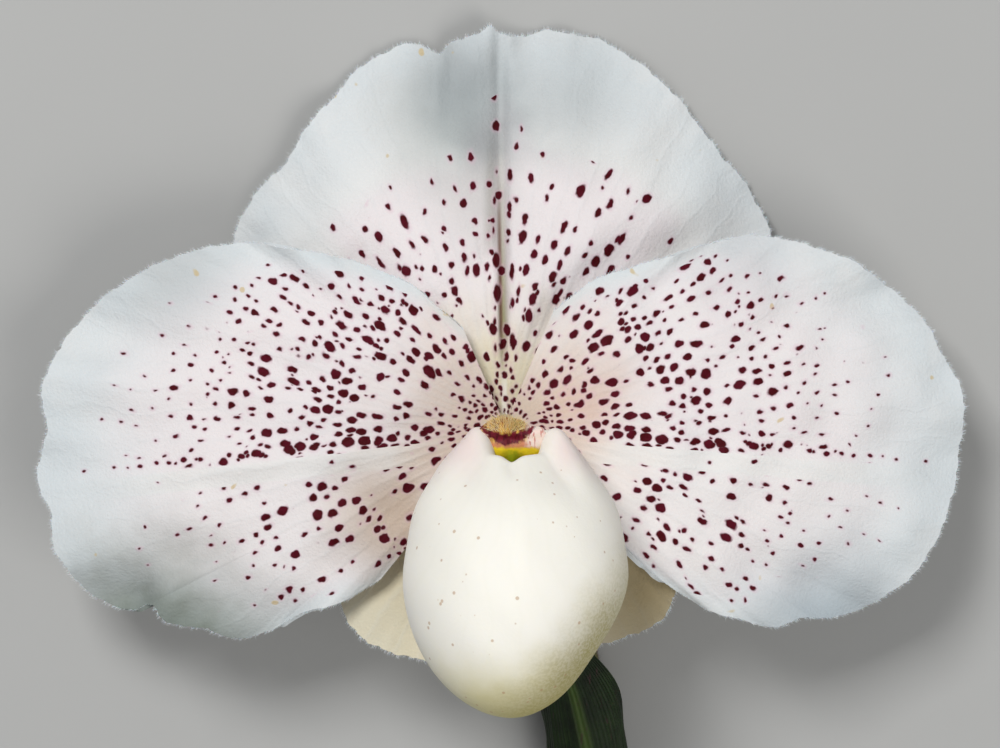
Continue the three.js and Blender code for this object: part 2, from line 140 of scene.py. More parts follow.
def gridPiece(name, columns, rows, pointAt, flip=False):
    # a grid whose u and v run 0..1 and are laid on the surface that pointAt gives
    deselectAll()
    bpy.ops.mesh.primitive_grid_add(x_subdivisions=columns, y_subdivisions=rows, size=1)
    piece = bpy.context.object
    piece.name = piece.data.name = name
    u, v = readPoints(piece)[:, :2].T + 0.5
    writePoints(piece, pointAt(u, v))
    if flip:
        editAll(bpy.ops.mesh.flip_normals)
    return piece


def closedPiece(name, columns, rows, pointAt):
    # a grid that closes on itself: seam and poles are welded
    piece = gridPiece(name, columns, rows, pointAt)
    editAll(lambda: bpy.ops.mesh.remove_doubles(threshold=2e-6),
            lambda: bpy.ops.mesh.normals_make_consistent(inside=False))
    return piece


def giveWall(piece, thickness, **settings):
    # the wall grows inwards, and its inner side takes the second material
    pickOnly(piece)
    modifier = piece.modifiers.new("Solidify", "SOLIDIFY")
    settings.update(thickness=thickness * mm, offset=-1, material_offset=1)
    for key, value in settings.items():
        setattr(modifier, key, value)
    bpy.ops.object.modifier_apply(modifier=modifier.name)


def finishPiece(piece, node, materials, angle=50):
    points = readPoints(piece)
    points[:, 2] = np.maximum(points[:, 2], 0.0)      # nothing dips into the table
    writePoints(piece, points)
    pickOnly(piece)
    bpy.ops.object.shade_smooth_by_angle(angle=math.radians(angle))
    piece.data.materials.clear()
    for material in materials:
        piece.data.materials.append(material)
    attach(piece, "root")
    if node:
        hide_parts(node)


hair = {"bend": 1.8, "sink": 0.04, "floorGap": 0.05}


def modelHair():
    # one three-sided hair, one unit long and one radius thick, bent a little to one side
    deselectAll()
    bpy.ops.mesh.primitive_cone_add(vertices=3, radius1=1, radius2=0, depth=1, location=(0, 0, 0.5))
    piece = bpy.context.object
    bpy.ops.object.transform_apply(location=True, rotation=False, scale=False)
    editAll(lambda: bpy.ops.mesh.bisect(plane_co=(0, 0, 0.5), plane_no=(0, 0, 1)),
            lambda: bpy.ops.mesh.select_all(action="SELECT"),
            lambda: bpy.ops.mesh.quads_convert_to_tris())
    points = readPoints(piece)
    points[:, 0] += hair["bend"] * points[:, 2] ** 2
    faces = [tuple(face.vertices) for face in piece.data.polygons]
    bpy.data.objects.remove(piece)
    return points, np.array(faces)


hairPoints, hairFaces = modelHair()


def furPiece(name, roots, directions, lengths, radius, material):
    # many copies of the one hair in a single mesh; roots in metres, lengths and radius in mm
    axis = unit(directions)[:, None]
    side = unit(np.cross(np.where(np.abs(axis[..., 2:]) < 0.8, [0, 0, 1.0], [1.0, 0, 0]), axis))
    other = np.cross(axis, side)
    thick = radius * mm
    placed = (roots[:, None] - axis * hair["sink"] * mm
              + axis * hairPoints[:, 2:] * (lengths * mm)[:, None, None]
              + side * hairPoints[:, :1] * thick + other * hairPoints[:, 1:2] * thick)
    placed[..., 2] = np.maximum(placed[..., 2], hair["floorGap"] * mm)
    faces = hairFaces + (np.arange(len(roots)) * len(hairPoints))[:, None, None]
    mesh = bpy.data.meshes.new(name)
    mesh.from_pydata(placed.reshape(-1, 3).tolist(), [], faces.reshape(-1, 3).tolist())
    fur = bpy.data.objects.new(name, mesh)
    bpy.context.collection.objects.link(fur)
    finishPiece(fur, None, [material], angle=70)
    print(name, len(roots), "hairs")


# materials
def colour(code):                     # "#rrggbb" as the linear colour that shaders take
    parts = [int(code[k:k + 2], 16) / 255 for k in (1, 3, 5)]
    return tuple(c / 12.92 if c <= 0.04045 else ((c + 0.055) / 1.055) ** 2.4 for c in parts) + (1.0,)


class Bench:                          # lays nodes in one tree and wires them
    def __init__(self, tree):
        self.tree = tree

    def feed(self, node, key, value):
        if isinstance(value, bpy.types.NodeSocket):
            self.tree.links.new(value, node.inputs[key])
        else:
            node.inputs[key].default_value = colour(value) if isinstance(value, str) else value

    def node(self, kind, inputs, **settings):
        made = self.tree.nodes.new(kind)
        for key, value in settings.items():
            setattr(made, key, value)
        for key, value in inputs.items():
            self.feed(made, key, value)
        return made

    def math(self, operation, *values):
        return self.node("ShaderNodeMath", dict(enumerate(values)), operation=operation).outputs[0]

    def plus(self, first, second):
        return self.math("ADD", first, second)

    def minus(self, first, second):
        return self.math("SUBTRACT", first, second)

    def times(self, first, *others):
        for other in others:
            first = self.math("MULTIPLY", first, other)
        return first

    def over(self, first, second):
        return self.math("DIVIDE", first, second)

    def scaled(self, value, by, add):
        return self.math("MULTIPLY_ADD", value, by, add)

    def off(self, value, centre=None):    # how far a value is off a centre, either way
        return self.math("ABSOLUTE", value if centre is None else self.minus(value, centre))

    def vector(self, operation, *values):
        made = self.node("ShaderNodeVectorMath", dict(enumerate(values)), operation=operation)
        return made.outputs[1 if operation in ("LENGTH", "DISTANCE") else 0]

    def fade(self, value, start, end, low=0.0, high=1.0):
        inputs = {0: value, 1: start, 2: end, 3: low, 4: high}
        return self.node("ShaderNodeMapRange", inputs, interpolation_type="SMOOTHSTEP").outputs[0]

    def mix(self, share, first, second):
        inputs = {0: share, 6: first, 7: second}
        return self.node("ShaderNodeMix", inputs, data_type="RGBA").outputs[2]

    def noise(self, place, scale, detail=2.0, rough=0.5):
        inputs = {"Vector": place, "Scale": scale, "Detail": detail, "Roughness": rough}
        return self.node("ShaderNodeTexNoise", inputs).outputs[0]

    def wander(self, place, scale, detail, amount):
        # a slow shift to and fro, to add to a place
        drift = self.noise(place, scale, detail).node.outputs[1]
        return self.vector("MULTIPLY", self.vector("SUBTRACT", drift, (0.5, 0.5, 0.5)), amount)

    def split(self, vector):
        return self.node("ShaderNodeSeparateXYZ", {0: vector}).outputs

    def join(self, x, y, z=0.0):
        return self.node("ShaderNodeCombineXYZ", {0: x, 1: y, 2: z}).outputs[0]

    def random(self, x, y, z):        # a random value and a random colour for each cell
        return self.node("ShaderNodeTexWhiteNoise", {"Vector": self.join(x, y, z)}).outputs

    def channels(self, tone):
        return self.node("ShaderNodeSeparateColor", {0: tone}).outputs

    def group(self, tree, **inputs):
        named = {key[0].upper() + key[1:]: value for key, value in inputs.items()}
        return self.node("ShaderNodeGroup", named, node_tree=tree).outputs

    def coordinates(self, kind):
        return self.node("ShaderNodeTexCoord", {}).outputs[kind]

    def partPlace(self, **inputs):    # object place in mm
        inputs = dict(inputs, Vector=self.coordinates("Object"), Scale=(mm, mm, mm))
        return self.node("ShaderNodeMapping", inputs, vector_type="TEXTURE").outputs[0]

    def flowerPlace(self, angle=0.0):
        # object place in mm, centred on the heart and turned so that x runs out at an angle
        turn = (faceTurn @ Matrix.Rotation(angle, 4, "Z")).to_euler()
        return self.partPlace(Location=heart * mm, Rotation=turn)


def newGroup(name, values, results):
    # a node group that reads a place and some values
    tree = bpy.data.node_groups.new(name, "ShaderNodeTree")
    tree.interface.new_socket("Place", in_out="INPUT", socket_type="NodeSocketVector")
    for key in values:
        tree.interface.new_socket(key, in_out="INPUT", socket_type="NodeSocketFloat")
    for key in results:
        tree.interface.new_socket(key, in_out="OUTPUT", socket_type="NodeSocketFloat")
    b = Bench(tree)
    return b, b.node("NodeGroupInput", {}).outputs, b.node("NodeGroupOutput", {})


def newMaterial(name):
    material = bpy.data.materials.new(name)
    material.use_nodes = True
    b = Bench(material.node_tree)
    b.material = material
    b.shader = material.node_tree.nodes["Principled BSDF"]
    return b


def finishMaterial(b, base, height=None, relief=(0.05, 0.6), grain=None, rough=None, **values):
    # relief is depth in mm and strength; the values are the same all over the surface
    b.feed(b.shader, "Base Color", base)
    if height is not None:
        inputs = {"Height": height, "Distance": relief[0] * mm, "Strength": relief[1]}
        b.feed(b.shader, "Normal", b.node("ShaderNodeBump", inputs).outputs[0])
    if rough:
        b.feed(b.shader, "Roughness", b.fade(grain, 0.0, 1.0, *rough))
    for key, value in values.items():
        b.shader.inputs[key.replace("_", " ")].default_value = value
    return b.material


# effects that several materials share
def closeSpot(b, out, gap, present):
    # the spot has a crisp edge, and its halo is paler and wider
    b.feed(out, "Spot", b.times(b.fade(gap, 0.06, -0.06), present))
    b.feed(out, "Halo", b.times(b.fade(gap, 0.26, -0.05), present))


def buildSpotField():
    # spots in rows that fan out from the heart, between two reaches
    b, given, out = newGroup(
        "spotField", ["Rows", "From", "To", "Size", "Stretch", "Lens", "Chance", "Seed"], ["Spot", "Halo"])
    slow = b.wander(given["Place"], 0.16, 1.0, (1.6, 1.6, 0.0))
    quick = b.wander(given["Place"], 1.6, 1.0, (0.36, 0.36, 0.0))
    x, y, _ = b.split(b.vector("ADD", given["Place"], b.vector("ADD", slow, quick)))
    reach = b.math("SQRT", b.plus(b.times(x, x), b.times(y, y)))
    reach = b.math("MAXIMUM", reach, 0.3)
    turn = b.times(b.math("ARCTAN2", y, x), given["Rows"])
    travel = b.over(b.math("LOGARITHM", reach, math.e), given["Stretch"])
    travel = b.times(travel, given["Rows"])
    row = b.math("FLOOR", travel)
    # each step outwards turns the row a little, so that spots don't line up as rays
    turn = b.plus(b.random(row, given["Seed"], 3.7)[0], turn)
    column = b.math("FLOOR", turn)
    cell = b.random(column, row, given["Seed"])
    drawA, drawB, drawC = b.channels(cell[1])
    # most spots are middling and a few are large
    swell = b.scaled(b.math("POWER", drawC, 2.0), 0.6, 0.6)
    swell = b.scaled(b.math("POWER", drawC, 9.0), 0.3, swell)
    rowReach = b.times(b.plus(row, 0.5), b.over(given["Stretch"], given["Rows"]))
    rowReach = b.plus(b.math("EXPONENT", rowReach), b.scaled(drawB, 1.6, -0.8))
    ring = b.times(b.math("GREATER_THAN", rowReach, given["From"]),
                   b.math("LESS_THAN", rowReach, given["To"]))
    sure = b.minus(b.times(given["Chance"], ring), cell[0])
    cellSize = b.over(reach, given["Rows"])
    # a spot is as long as it is wide times length, and stays within its cell both ways
    slender = b.scaled(b.math("FRACT", b.times(drawC, 17.3)), -0.38, 1.0)
    length = b.over(b.over(given["Lens"], given["Stretch"]), slender)
    radius = b.times(given["Size"], swell)
    radius = b.math("MINIMUM", radius, b.times(cellSize, 0.42))
    radius = b.math("MINIMUM", radius, b.over(b.times(cellSize, 0.45), length))
    radius = b.times(radius, b.fade(sure, 0.0, 0.1))
    share = b.over(radius, cellSize)
    roomA = b.scaled(share, -2.0, 0.94)
    roomB = b.scaled(b.times(share, length), -2.0, 0.94)
    placeA = b.scaled(b.minus(drawA, 0.5), roomA, 0.5)
    placeB = b.scaled(b.minus(drawB, 0.5), roomB, 0.5)
    aside = b.minus(b.minus(turn, column), placeA)
    ahead = b.over(b.minus(b.minus(travel, row), placeB), length)
    gap = b.minus(b.times(cellSize, b.vector("LENGTH", b.join(aside, ahead))), radius)
    closeSpot(b, out, gap, b.fade(radius, 0.03, 0.08))
    return b.tree


def buildSpotLine():
    # one line of spots along a vein, at a given distance aside of it
    b, given, out = newGroup(
        "spotLine", ["Spacing", "Aside", "Drift", "Radius", "Lens", "Chance", "Seed"], ["Spot", "Halo"])
    quick = b.wander(given["Place"], 1.3, 2.0, (0.4, 0.3, 0.0))
    x, y, _ = b.split(b.vector("ADD", given["Place"], quick))
    reach = b.math("MAXIMUM", x, 0.3)
    travel = b.over(reach, given["Spacing"])
    row = b.math("FLOOR", travel)
    cell = b.random(row, given["Seed"], 1.3)
    drawA, drawB, drawC = b.channels(cell[1])
    ahead = b.minus(b.minus(travel, row), b.scaled(drawB, 0.3, 0.35))
    ahead = b.over(b.times(ahead, given["Spacing"]), given["Lens"])
    drift = b.times(b.minus(drawA, 0.5), given["Drift"])
    aside = b.minus(b.minus(y, given["Aside"]), drift)
    radius = b.times(given["Radius"], b.scaled(drawC, 0.5, 0.5))
    radius = b.times(radius, b.fade(reach, 2.0, 12.0, 0.6, 1.0))
    radius = b.times(radius, b.fade(b.minus(given["Chance"], cell[0]), 0.0, 0.12))
    gap = b.minus(b.vector("LENGTH", b.join(aside, ahead)), radius)
    closeSpot(b, out, gap, b.times(b.fade(radius, 0.03, 0.08), b.fade(x, 0.6, 1.6)))
    return b.tree


def buildVeins():
    # fine lines that fan out from the heart, each one wavering a little
    b, given, out = newGroup("veins", ["Count", "Waver"], ["Line"])
    x, y, _ = b.split(given["Place"])
    reach = b.math("MAXIMUM", b.vector("LENGTH", b.join(x, y)), 0.5)
    sway = b.times(b.minus(b.noise(given["Place"], 0.12, 3.0), 0.5), given["Waver"])
    turn = b.times(b.plus(b.math("ARCTAN2", y, x), sway), given["Count"])
    width = b.over(b.times(b.off(b.math("FRACT", turn), 0.5), reach), given["Count"])
    b.feed(out, "Line", b.fade(width, 0.30, 0.0))
    return b.tree


def buildSkin():
    # the soft crystalline skin of petals: fine cells over a slow unevenness
    b, given, out = newGroup("skin", ["Scale"], ["Height"])
    place = b.node("ShaderNodeVectorMath", {0: given["Place"], "Scale": given["Scale"]},
                   operation="SCALE").outputs[0]
    cells = b.node("ShaderNodeTexVoronoi", {"Vector": place, "Scale": 4.5}, feature="SMOOTH_F1").outputs[0]
    height = b.scaled(cells, -0.5, b.times(b.noise(place, 9.0, 3.0, 0.6), 0.5))
    b.feed(out, "Height", b.scaled(b.noise(place, 0.6, 2.0, 0.5), 1.5, height))
    return b.tree


spotField = buildSpotField()
spotLine = buildSpotLine()
veins = buildVeins()
skin = buildSkin()

# petals and sepals
petalColours = {
    "body": "#e6e4e1", "rim": "#d3d9db", "flush": "#ead3dc", "spot": "#440108", "spotEdge": "#6d1030",
    "halo": "#d9adc0", "midrib": "#858552", "midribHighlight": "#f3efe0", "freckle": "#c9ab62",
    "reverseFoot": "#cdbf9f",
}


def spotsAndHalos(b, marks, place, reach, chance):
    shrink = b.times(
        b.fade(reach, marks["largeUntil"], marks["reachMiddle"] - 4, 1.0, marks["smallest"]),
        b.fade(reach, 2.5, marks["largeFrom"], 0.55, 1.0))
    made = []
    for rows, nearest, farthest, size, share, seed in marks["fields"]:
        limits = {"from": nearest, "to": farthest}
        made.append(b.group(
            spotField, place=place, rows=rows, size=b.times(shrink, marks["size"] * size), stretch=1.1,
            lens=marks["lens"], chance=b.times(chance, share), seed=seed, **limits))
    for spacing, aside, drift, radius, lens, until, share, seed in marks["lines"]:
        made.append(b.group(
            spotLine, place=place, spacing=spacing, aside=aside, drift=drift, radius=b.times(shrink, radius),
            lens=lens, chance=b.fade(reach, until, until - 6, 0.0, share), seed=seed))
    spot, halo = made[0]
    for more, moreHalo in made[1:]:
        spot = b.math("MAXIMUM", spot, more)
        halo = b.math("MAXIMUM", halo, moreHalo)
    return spot, halo


def spotChance(b, marks, y, turn, reach, outward, patch):
    # how likely a spot is: dense near the heart, thinning out along a ragged line short of the margin
    ragged = b.times(b.minus(patch, 0.5), 5.0)
    limit = b.fade(b.off(turn), 0.0, marks["fanTurn"], marks["reachMiddle"], marks["reachSide"])
    chance = b.fade(b.minus(limit, b.plus(reach, ragged)), -1.5, marks["thinning"])
    chance = b.times(chance, b.fade(outward, marks["edgeEnd"], marks["edgeStart"]),
                     b.fade(b.off(turn), marks["fanEnd"], marks["fanEnd"] - 0.12),
                     b.fade(b.times(turn, marks["upperSign"]), -0.25, 0.12, marks["lower"], marks["upper"]))
    # a bare band runs along the lower side of the middle vein
    offBand = b.off(b.scaled(y, marks["upperSign"], marks["bareMiddle"]))
    bare = b.times(b.fade(offBand, marks["bareHalf"] + 0.3, marks["bareHalf"]), b.fade(reach, 5.0, 9.0))
    return b.times(chance, b.scaled(bare, -0.85, 1.0))


def bladeMaterial(name, settings, reverse=False):
    b = newMaterial(name)
    tone = petalColours
    place = b.flowerPlace(settings["veinAngle"])
    x, y, _ = b.split(place)
    flat = b.join(x, y)
    reach = b.vector("LENGTH", flat)
    turn = b.math("ARCTAN2", y, x)
    outward = b.split(b.coordinates("UV"))[1]
    patch = b.noise(place, 0.16, 3.0, 0.6)
    vein = b.group(veins, place=place, count=settings["veinCount"], waver=0.22)[0]
    chance = spotChance(b, settings["marks"], y, turn, reach, outward, patch)
    spot, halo = spotsAndHalos(b, settings["marks"], place, reach, chance)

    # the ground: cooler and darker towards the margin, partly the thin blade's own tone and partly painted
    # shade where the margin turns from the light; rosy among the spots, warm at the foot
    towardsMargin = b.times(b.fade(outward, 0.62, 1.0), b.fade(patch, 0.2, 0.7, 0.45, 1.0))
    base = b.mix(towardsMargin, tone["body"], tone["rim"])
    base = b.mix(b.times(chance, b.fade(patch, 0.35, 0.75, 0.25, settings["flush"])), base, tone["flush"])
    warm = b.plus(reach, b.times(b.minus(patch, 0.5), 9.0))
    base = b.mix(b.fade(warm, settings["creamReach"], 1.5, 0.0, 0.85), base, settings["warm"])
    width, length, strength = settings["midrib"]
    # a pale line at the foot of the midrib is painted highlight on its raised ridge
    foot = b.times(b.fade(b.off(y), 0.35, 0.1), b.fade(reach, 5.0, 3.0), strength)
    base = b.mix(foot, base, tone["midribHighlight"])
    midrib = b.times(b.fade(b.off(y), width, 0.0), b.fade(reach, length, 4.0, 0.0, strength),
                     b.fade(reach, 2.5, 8.0))
    base = b.mix(midrib, base, tone["midrib"])
    # streaks along the blade: on the hood, painted shade beside the crease and a dark olive-brown line down
    # it
    for aside, half, start, end, share, streakTone in settings.get("streaks", []):
        band = b.times(b.fade(b.off(y, aside), half, 0.0), b.fade(reach, start - 2.5, start + 0.5),
                       b.fade(reach, end, end - 6.0, 0.0, share))
        base = b.mix(band, base, streakTone)
    base = b.mix(b.times(vein, 0.10), base, tone["halo"] if reverse else tone["rim"])
    # painted shade and shadow: soft darker patches where the blade turns from the light or lies in its
    # neighbours' shadow
    for shadeX, shadeY, size, shadeTone, share in settings["shades"]:
        centre = Matrix.Rotation(-settings["veinAngle"], 2) @ Vector((shadeX, shadeY))
        away = b.vector("DISTANCE", flat, (centre.x, centre.y, 0.0))
        away = b.scaled(b.minus(patch, 0.5), 0.5 * size, away)
        base = b.mix(b.fade(away, size, 0.0, 0.0, share), base, shadeTone)
    base = b.mix(b.fade(b.noise(place, 0.55, 1.0), 0.765, 0.80, 0.0, 0.6), base, tone["freckle"])
    if reverse:
        # the spots show faintly through the blade
        base = b.mix(b.fade(reach, 30.0, 3.0, 0.0, 0.35), base, tone["reverseFoot"])
        base = b.mix(b.times(halo, 0.30), base, tone["halo"])
        base = b.mix(b.times(spot, 0.38), base, tone["spotEdge"])
    else:
        base = b.mix(b.times(halo, 0.42), base, tone["halo"])
        core = b.mix(b.fade(b.noise(place, 1.1, 2.0), 0.35, 0.65), tone["spot"], tone["spotEdge"])
        base = b.mix(spot, base, b.mix(0.28, tone["spot"], core))
    grain = b.group(skin, place=place, scale=1.0)[0]
    return finishMaterial(
        b, base, b.scaled(vein, 0.25, grain), (0.10, 0.7), grain, (0.50, 0.68), Subsurface_Weight=0.05,
        Subsurface_Radius=(1.0, 0.8, 0.7), Subsurface_Scale=0.5 * mm, Sheen_Weight=0.03, Sheen_Roughness=0.45,
        Sheen_Tint=(0.93, 0.95, 1.0, 1.0), Specular_IOR_Level=0.10)


petalMarks = {
    "fanTurn": 1.2, "fanEnd": 1.95, "reachMiddle": 40.0, "reachSide": 29.0, "thinning": 16.0,
    "edgeStart": 0.80, "edgeEnd": 0.97, "upperSign": -1.0, "upper": 1.0, "lower": 0.72,
    "size": 0.31, "lens": 1.15, "largeFrom": 9.0, "largeUntil": 11.5, "smallest": 0.36,
    "bareMiddle": 1.6, "bareHalf": 0.7,
    "fields": [                       # rows in a radian, from, to, size, chance, seed
        (3.5, 0.9, 2.8, 1.5, 0.85, 2.0), (6.2, 2.8, 8.0, 1.1, 0.82, 3.0), (9.5, 8.0, 13.0, 1.0, 0.80, 4.0),
        (14.5, 13.0, 20.5, 1.0, 0.95, 6.0), (21.0, 20.5, 42.0, 1.0, 0.95, 8.0),
        (7.0, 6.0, 22.0, 1.1, 0.16, 9.0), (23.0, 12.0, 36.0, 0.45, 0.20, 10.0)],
    "lines": [                        # spacing, aside, drift, radius, lens, until, chance, seed
        (1.25, 0.0, 0.35, 0.43, 1.25, 38.0, 0.88, 5.0), (1.9, 0.35, 1.1, 0.36, 1.2, 32.0, 0.6, 15.0)],
}
hoodMarks = {
    "fanTurn": 0.16, "fanEnd": 0.80, "reachMiddle": 27.5, "reachSide": 22.8, "thinning": 2.0,
    "edgeStart": 0.85, "edgeEnd": 0.97, "upperSign": 1.0, "upper": 1.0, "lower": 1.0,
    "size": 0.33, "lens": 1.3, "largeFrom": 7.0, "largeUntil": 15.0, "smallest": 0.66,
    "bareMiddle": 0.0, "bareHalf": -1.0,
    "fields": [
        (3.5, 0.9, 2.8, 1.5, 0.85, 20.0), (6.6, 2.8, 11.5, 1.0, 0.66, 21.0),
        (11.8, 11.5, 40.0, 1.0, 0.86, 22.0), (16.0, 8.0, 24.0, 0.5, 0.14, 27.0)],
    "lines": [
        (2.5, 0.6, 0.5, 0.32, 2.5, 25.0, 0.85, 31.0), (2.8, -0.6, 0.5, 0.32, 2.5, 24.0, 0.85, 37.0)],
}
skirtMarks = dict(hoodMarks, reachMiddle=15.0, reachSide=13.0, upper=0.35, lower=0.35, lines=[])


def petalRelief(settings, x, y, reach):
    shape, angle = settings["shape"], settings["veinAngle"]
    below = np.sign(np.cos(angle)) * (x * np.sin(angle) - y * np.cos(angle))
    z = shape["rootZ"] + shape["rise"] * reach - shape["arch"] * reach**2
    z = z - shape["lowerRoll"] * np.maximum(below, 0) ** 2
    z = z + shape["ridge"] * bump(below, 0.9, 1.0) * smoothStep(reach, 4, 10)
    if "cleft" in settings:
        cleft = settings["cleft"]
        near = bump(x, cleft["x"], cleft["reach"]) * bump(y, cleft["y"], cleft["reach"])
        z = z + cleft["step"] * np.tanh((x - cleft["x"]) / cleft["width"]) * near
    return z


def hoodRelief(settings, x, y, reach):
    shape = settings["shape"]
    height = clamp01(y / shape["length"])
    aside = x - shape["grooveX"] * height
    z = shape["rootZ"] + shape["rise"] * reach - shape["arch"] * reach**2 - shape["sideRoll"] * x**2
    z = z - shape["groove"] * height * bump(aside, 0, 0.9 + 3.2 * height**2)
    z = z - shape["crease"] * bump(aside, 0, 0.35 + 0.3 * height) * smoothStep(y, 3, 9)
    z = z + shape["tipCurl"] * bump(aside, -0.6, 2.4) * clamp01((y - 29) / 4) ** 2
    z = z - shape["pleat"] * bump(x + 5.6 - 0.12 * (y - 30), 0, 0.8) * smoothStep(y, 22, 32)
    return z


def skirtRelief(settings, x, y, reach):
    shape = settings["shape"]
    keel = shape["keel"] * bump(x, 0.6, 1.2) * smoothStep(-y, 4, 12)
    return shape["rootZ"] + shape["rise"] * reach - keel


# midrib is width, length and strength; shades, patches of painted shade and shadow, are x, y, size, tone and
# strength;
# streaks, painted shade beside the hood's crease and a dark line down it, are aside, half width, start, end,
# strength and tone
petal = {
    "relief": petalRelief, "thickness": 0.85, "calmRadius": 24, "columns": 300, "rows": 84, "hairs": 2200,
    "veinCount": 11.0, "creamReach": 15.0, "warm": "#d6bfa8", "midrib": (0.3, 8.0, 0.0), "marks": petalMarks,
    "shape": {"rootZ": 0.75, "rise": 0.1, "arch": 0.0055, "lowerRoll": 0.006, "ridge": 0.28},
}
blades = {
    "petalLeft": dict(
        petal, node="petal_left", seed=11, veinAngle=math.radians(186.5), flush=0.24,
        ripples=[[0.75, 6.5, 0.1], [0.3, 10.5, 0.4]],
        cleft={"x": -29.7, "y": -15.1, "step": 0.8, "width": 0.9, "reach": 3.5},
        # painted shade on the turned-back lower margin and the upper edge, and a tan patch by the slipper
        # that is partly the petal's foot and partly painted shadow
        shades=[(-9.5, -8.0, 8.0, "#b5936a", 0.55), (-30.0, -21.5, 18.0, "#465540", 0.98),
                (-28.0, 13.0, 8.0, "#a9b0b2", 0.55)],
        outline=[
            [-3.4, 7.9], [-5.7, 9.9], [-7.7, 11.6], [-10.6, 12.9], [-13.5, 13.9], [-17.6, 14.6],
            [-22.3, 15.2], [-27.3, 14.1], [-31.5, 12.1], [-35.3, 9.2], [-37.8, 5.8], [-38.9, 2.4],
            [-38.5, -0.7], [-39.5, -4.2], [-38.3, -7.2], [-37.9, -10.1], [-36.2, -13.0], [-33.6, -15.1],
            [-31.3, -15.6], [-29.7, -15.1], [-28.4, -16.5], [-25.2, -17.1], [-22.6, -17.9], [-19.7, -17.3],
            [-17.2, -15.8], [-13.5, -14.7], [-10.3, -12.8]]),
    "petalRight": dict(
        petal, node="petal_right", seed=12, veinAngle=math.radians(-4.8), flush=0.15,
        ripples=[[0.65, 5.5, 0.35], [0.3, 10.5, 0.15]],
        shape=dict(petal["shape"], ridge=0.16), marks=dict(petalMarks, upperSign=1.0),
        # painted shade on the lower and upper margins, and a pinkish tan patch near the heart
        shades=[(7.0, 2.0, 5.5, "#c99f8c", 0.4), (27.0, -17.0, 11.0, "#8798a2", 0.6),
                (20.0, 13.5, 7.0, "#bdb9bc", 0.3)],
        outline=[
            [10.3, -10.5], [12.6, -12.6], [15.5, -14.6], [17.3, -15.6], [19.8, -16.3], [22.2, -16.9],
            [23.9, -16.6], [25.0, -16.1], [26.5, -16.2], [29.0, -15.9], [32.8, -13.9], [35.3, -11.4],
            [37.0, -8.0], [38.0, -4.6], [38.4, -1.3], [38.6, 2.1], [37.7, 4.3], [36.5, 6.4], [34.8, 9.3],
            [31.9, 11.8], [29.0, 13.7], [25.6, 14.9], [22.3, 15.7], [18.9, 15.6], [14.7, 14.3],
            [10.9, 13.2], [7.4, 12.0], [4.0, 9.4]]),
    "dorsalSepal": dict(
        petal, node="dorsal_sepal", seed=13, relief=hoodRelief, thickness=0.8, veinAngle=math.radians(90.8),
        shape={"rootZ": -0.65, "rise": -0.02, "arch": 0.0033, "sideRoll": 0.0075, "length": 33,
               "groove": 0.9, "grooveX": -0.45, "tipCurl": 1.5, "crease": 0.7, "pleat": 0.55},
        calmRadius=20, ripples=[[0.5, 4.5, 0.9], [0.25, 9.5, 0.3]], veinCount=10.0, flush=0.25,
        creamReach=14.0, warm="#ddd2a8", midrib=(0.5, 30.0, 0.9), marks=hoodMarks,
        # painted shade: grey-blue over the sunken top on either side of the groove, darker beside the crease
        shades=[(-4.0, 25.5, 10.0, "#a0a8a6", 0.68), (5.5, 27.5, 9.0, "#a3abad", 0.55),
                (-2.2, 18.0, 6.0, "#b3b1ac", 0.35), (-3.2, 28.8, 7.5, "#868e92", 0.55),
                (-2.1, 23.6, 3.2, "#83878a", 0.50)],
        # the first streak is painted shade beside the crease; the second is a dark olive-brown line down it
        streaks=[(0.95, 0.9, 16.0, 27.0, 0.5, "#857b6c"), (0.22, 0.30, 8.0, 22.0, 0.9, "#6e4430")],
        outline=[
            [18.0, 7.8], [21.8, 12.0], [22.5, 15.8], [22.0, 17.8], [20.1, 21.0], [18.3, 22.9], [16.7, 25.0],
            [15.0, 27.2], [12.8, 29.4], [10.3, 31.3], [8.1, 32.5], [5.9, 33.0], [3.4, 33.3], [1.3, 32.8],
            [-0.5, 33.0], [-1.3, 33.6], [-2.2, 33.0], [-4.5, 32.2], [-5.5, 31.4], [-7.4, 32.2],
            [-9.0, 32.0], [-11.1, 31.0], [-13.2, 29.4], [-14.5, 27.6], [-16.7, 25.3], [-18.3, 22.5],
            [-20.8, 20.0], [-22.3, 17.8], [-23.0, 15.2], [-21.8, 11.0], [-17.5, 7.2]]),
    "synsepal": dict(
        petal, node="synsepal", seed=14, relief=skirtRelief, thickness=0.8, veinAngle=math.radians(-88),
        shape={"rootZ": -0.65, "rise": -0.09, "keel": 0.35}, columns=150, rows=60, hairs=1100,
        calmRadius=18, ripples=[[0.35, 4.5, 0.2]], veinCount=9.0, flush=0.3, creamReach=60.0, warm="#d3c59c",
        # the right lobe's patch is painted shadow cast by the slipper
        midrib=(0.8, 16.0, 0.4), marks=skirtMarks, shades=[(12.5, -13.0, 12.0, "#8f7b4f", 0.75)],
        outline=[
            [-12.5, -8.8], [-14.0, -13.0], [-13.5, -15.8], [-11.9, -17.9], [-9.2, -19.2], [-6.4, -19.8],
            [-3.0, -20.4], [0.4, -21.0], [3.8, -20.2], [7.0, -18.8], [10.4, -17.7], [12.9, -16.6],
            [14.2, -14.3], [14.0, -11.4], [12.2, -8.2]]),
}
bladeDetail = {
    "nibble": ((0.06, 19), (0.05, 37), (0.035, 71), (0.03, 113)),    # height and count round the margin
    "crimp": ((0.05, 17), (0.035, 29), (0.02, 47)),
    "ribHeight": 0.03, "dentHeight": 0.07, "dents": 7, "hairLength": 0.42, "hairRadius": 0.022,
}


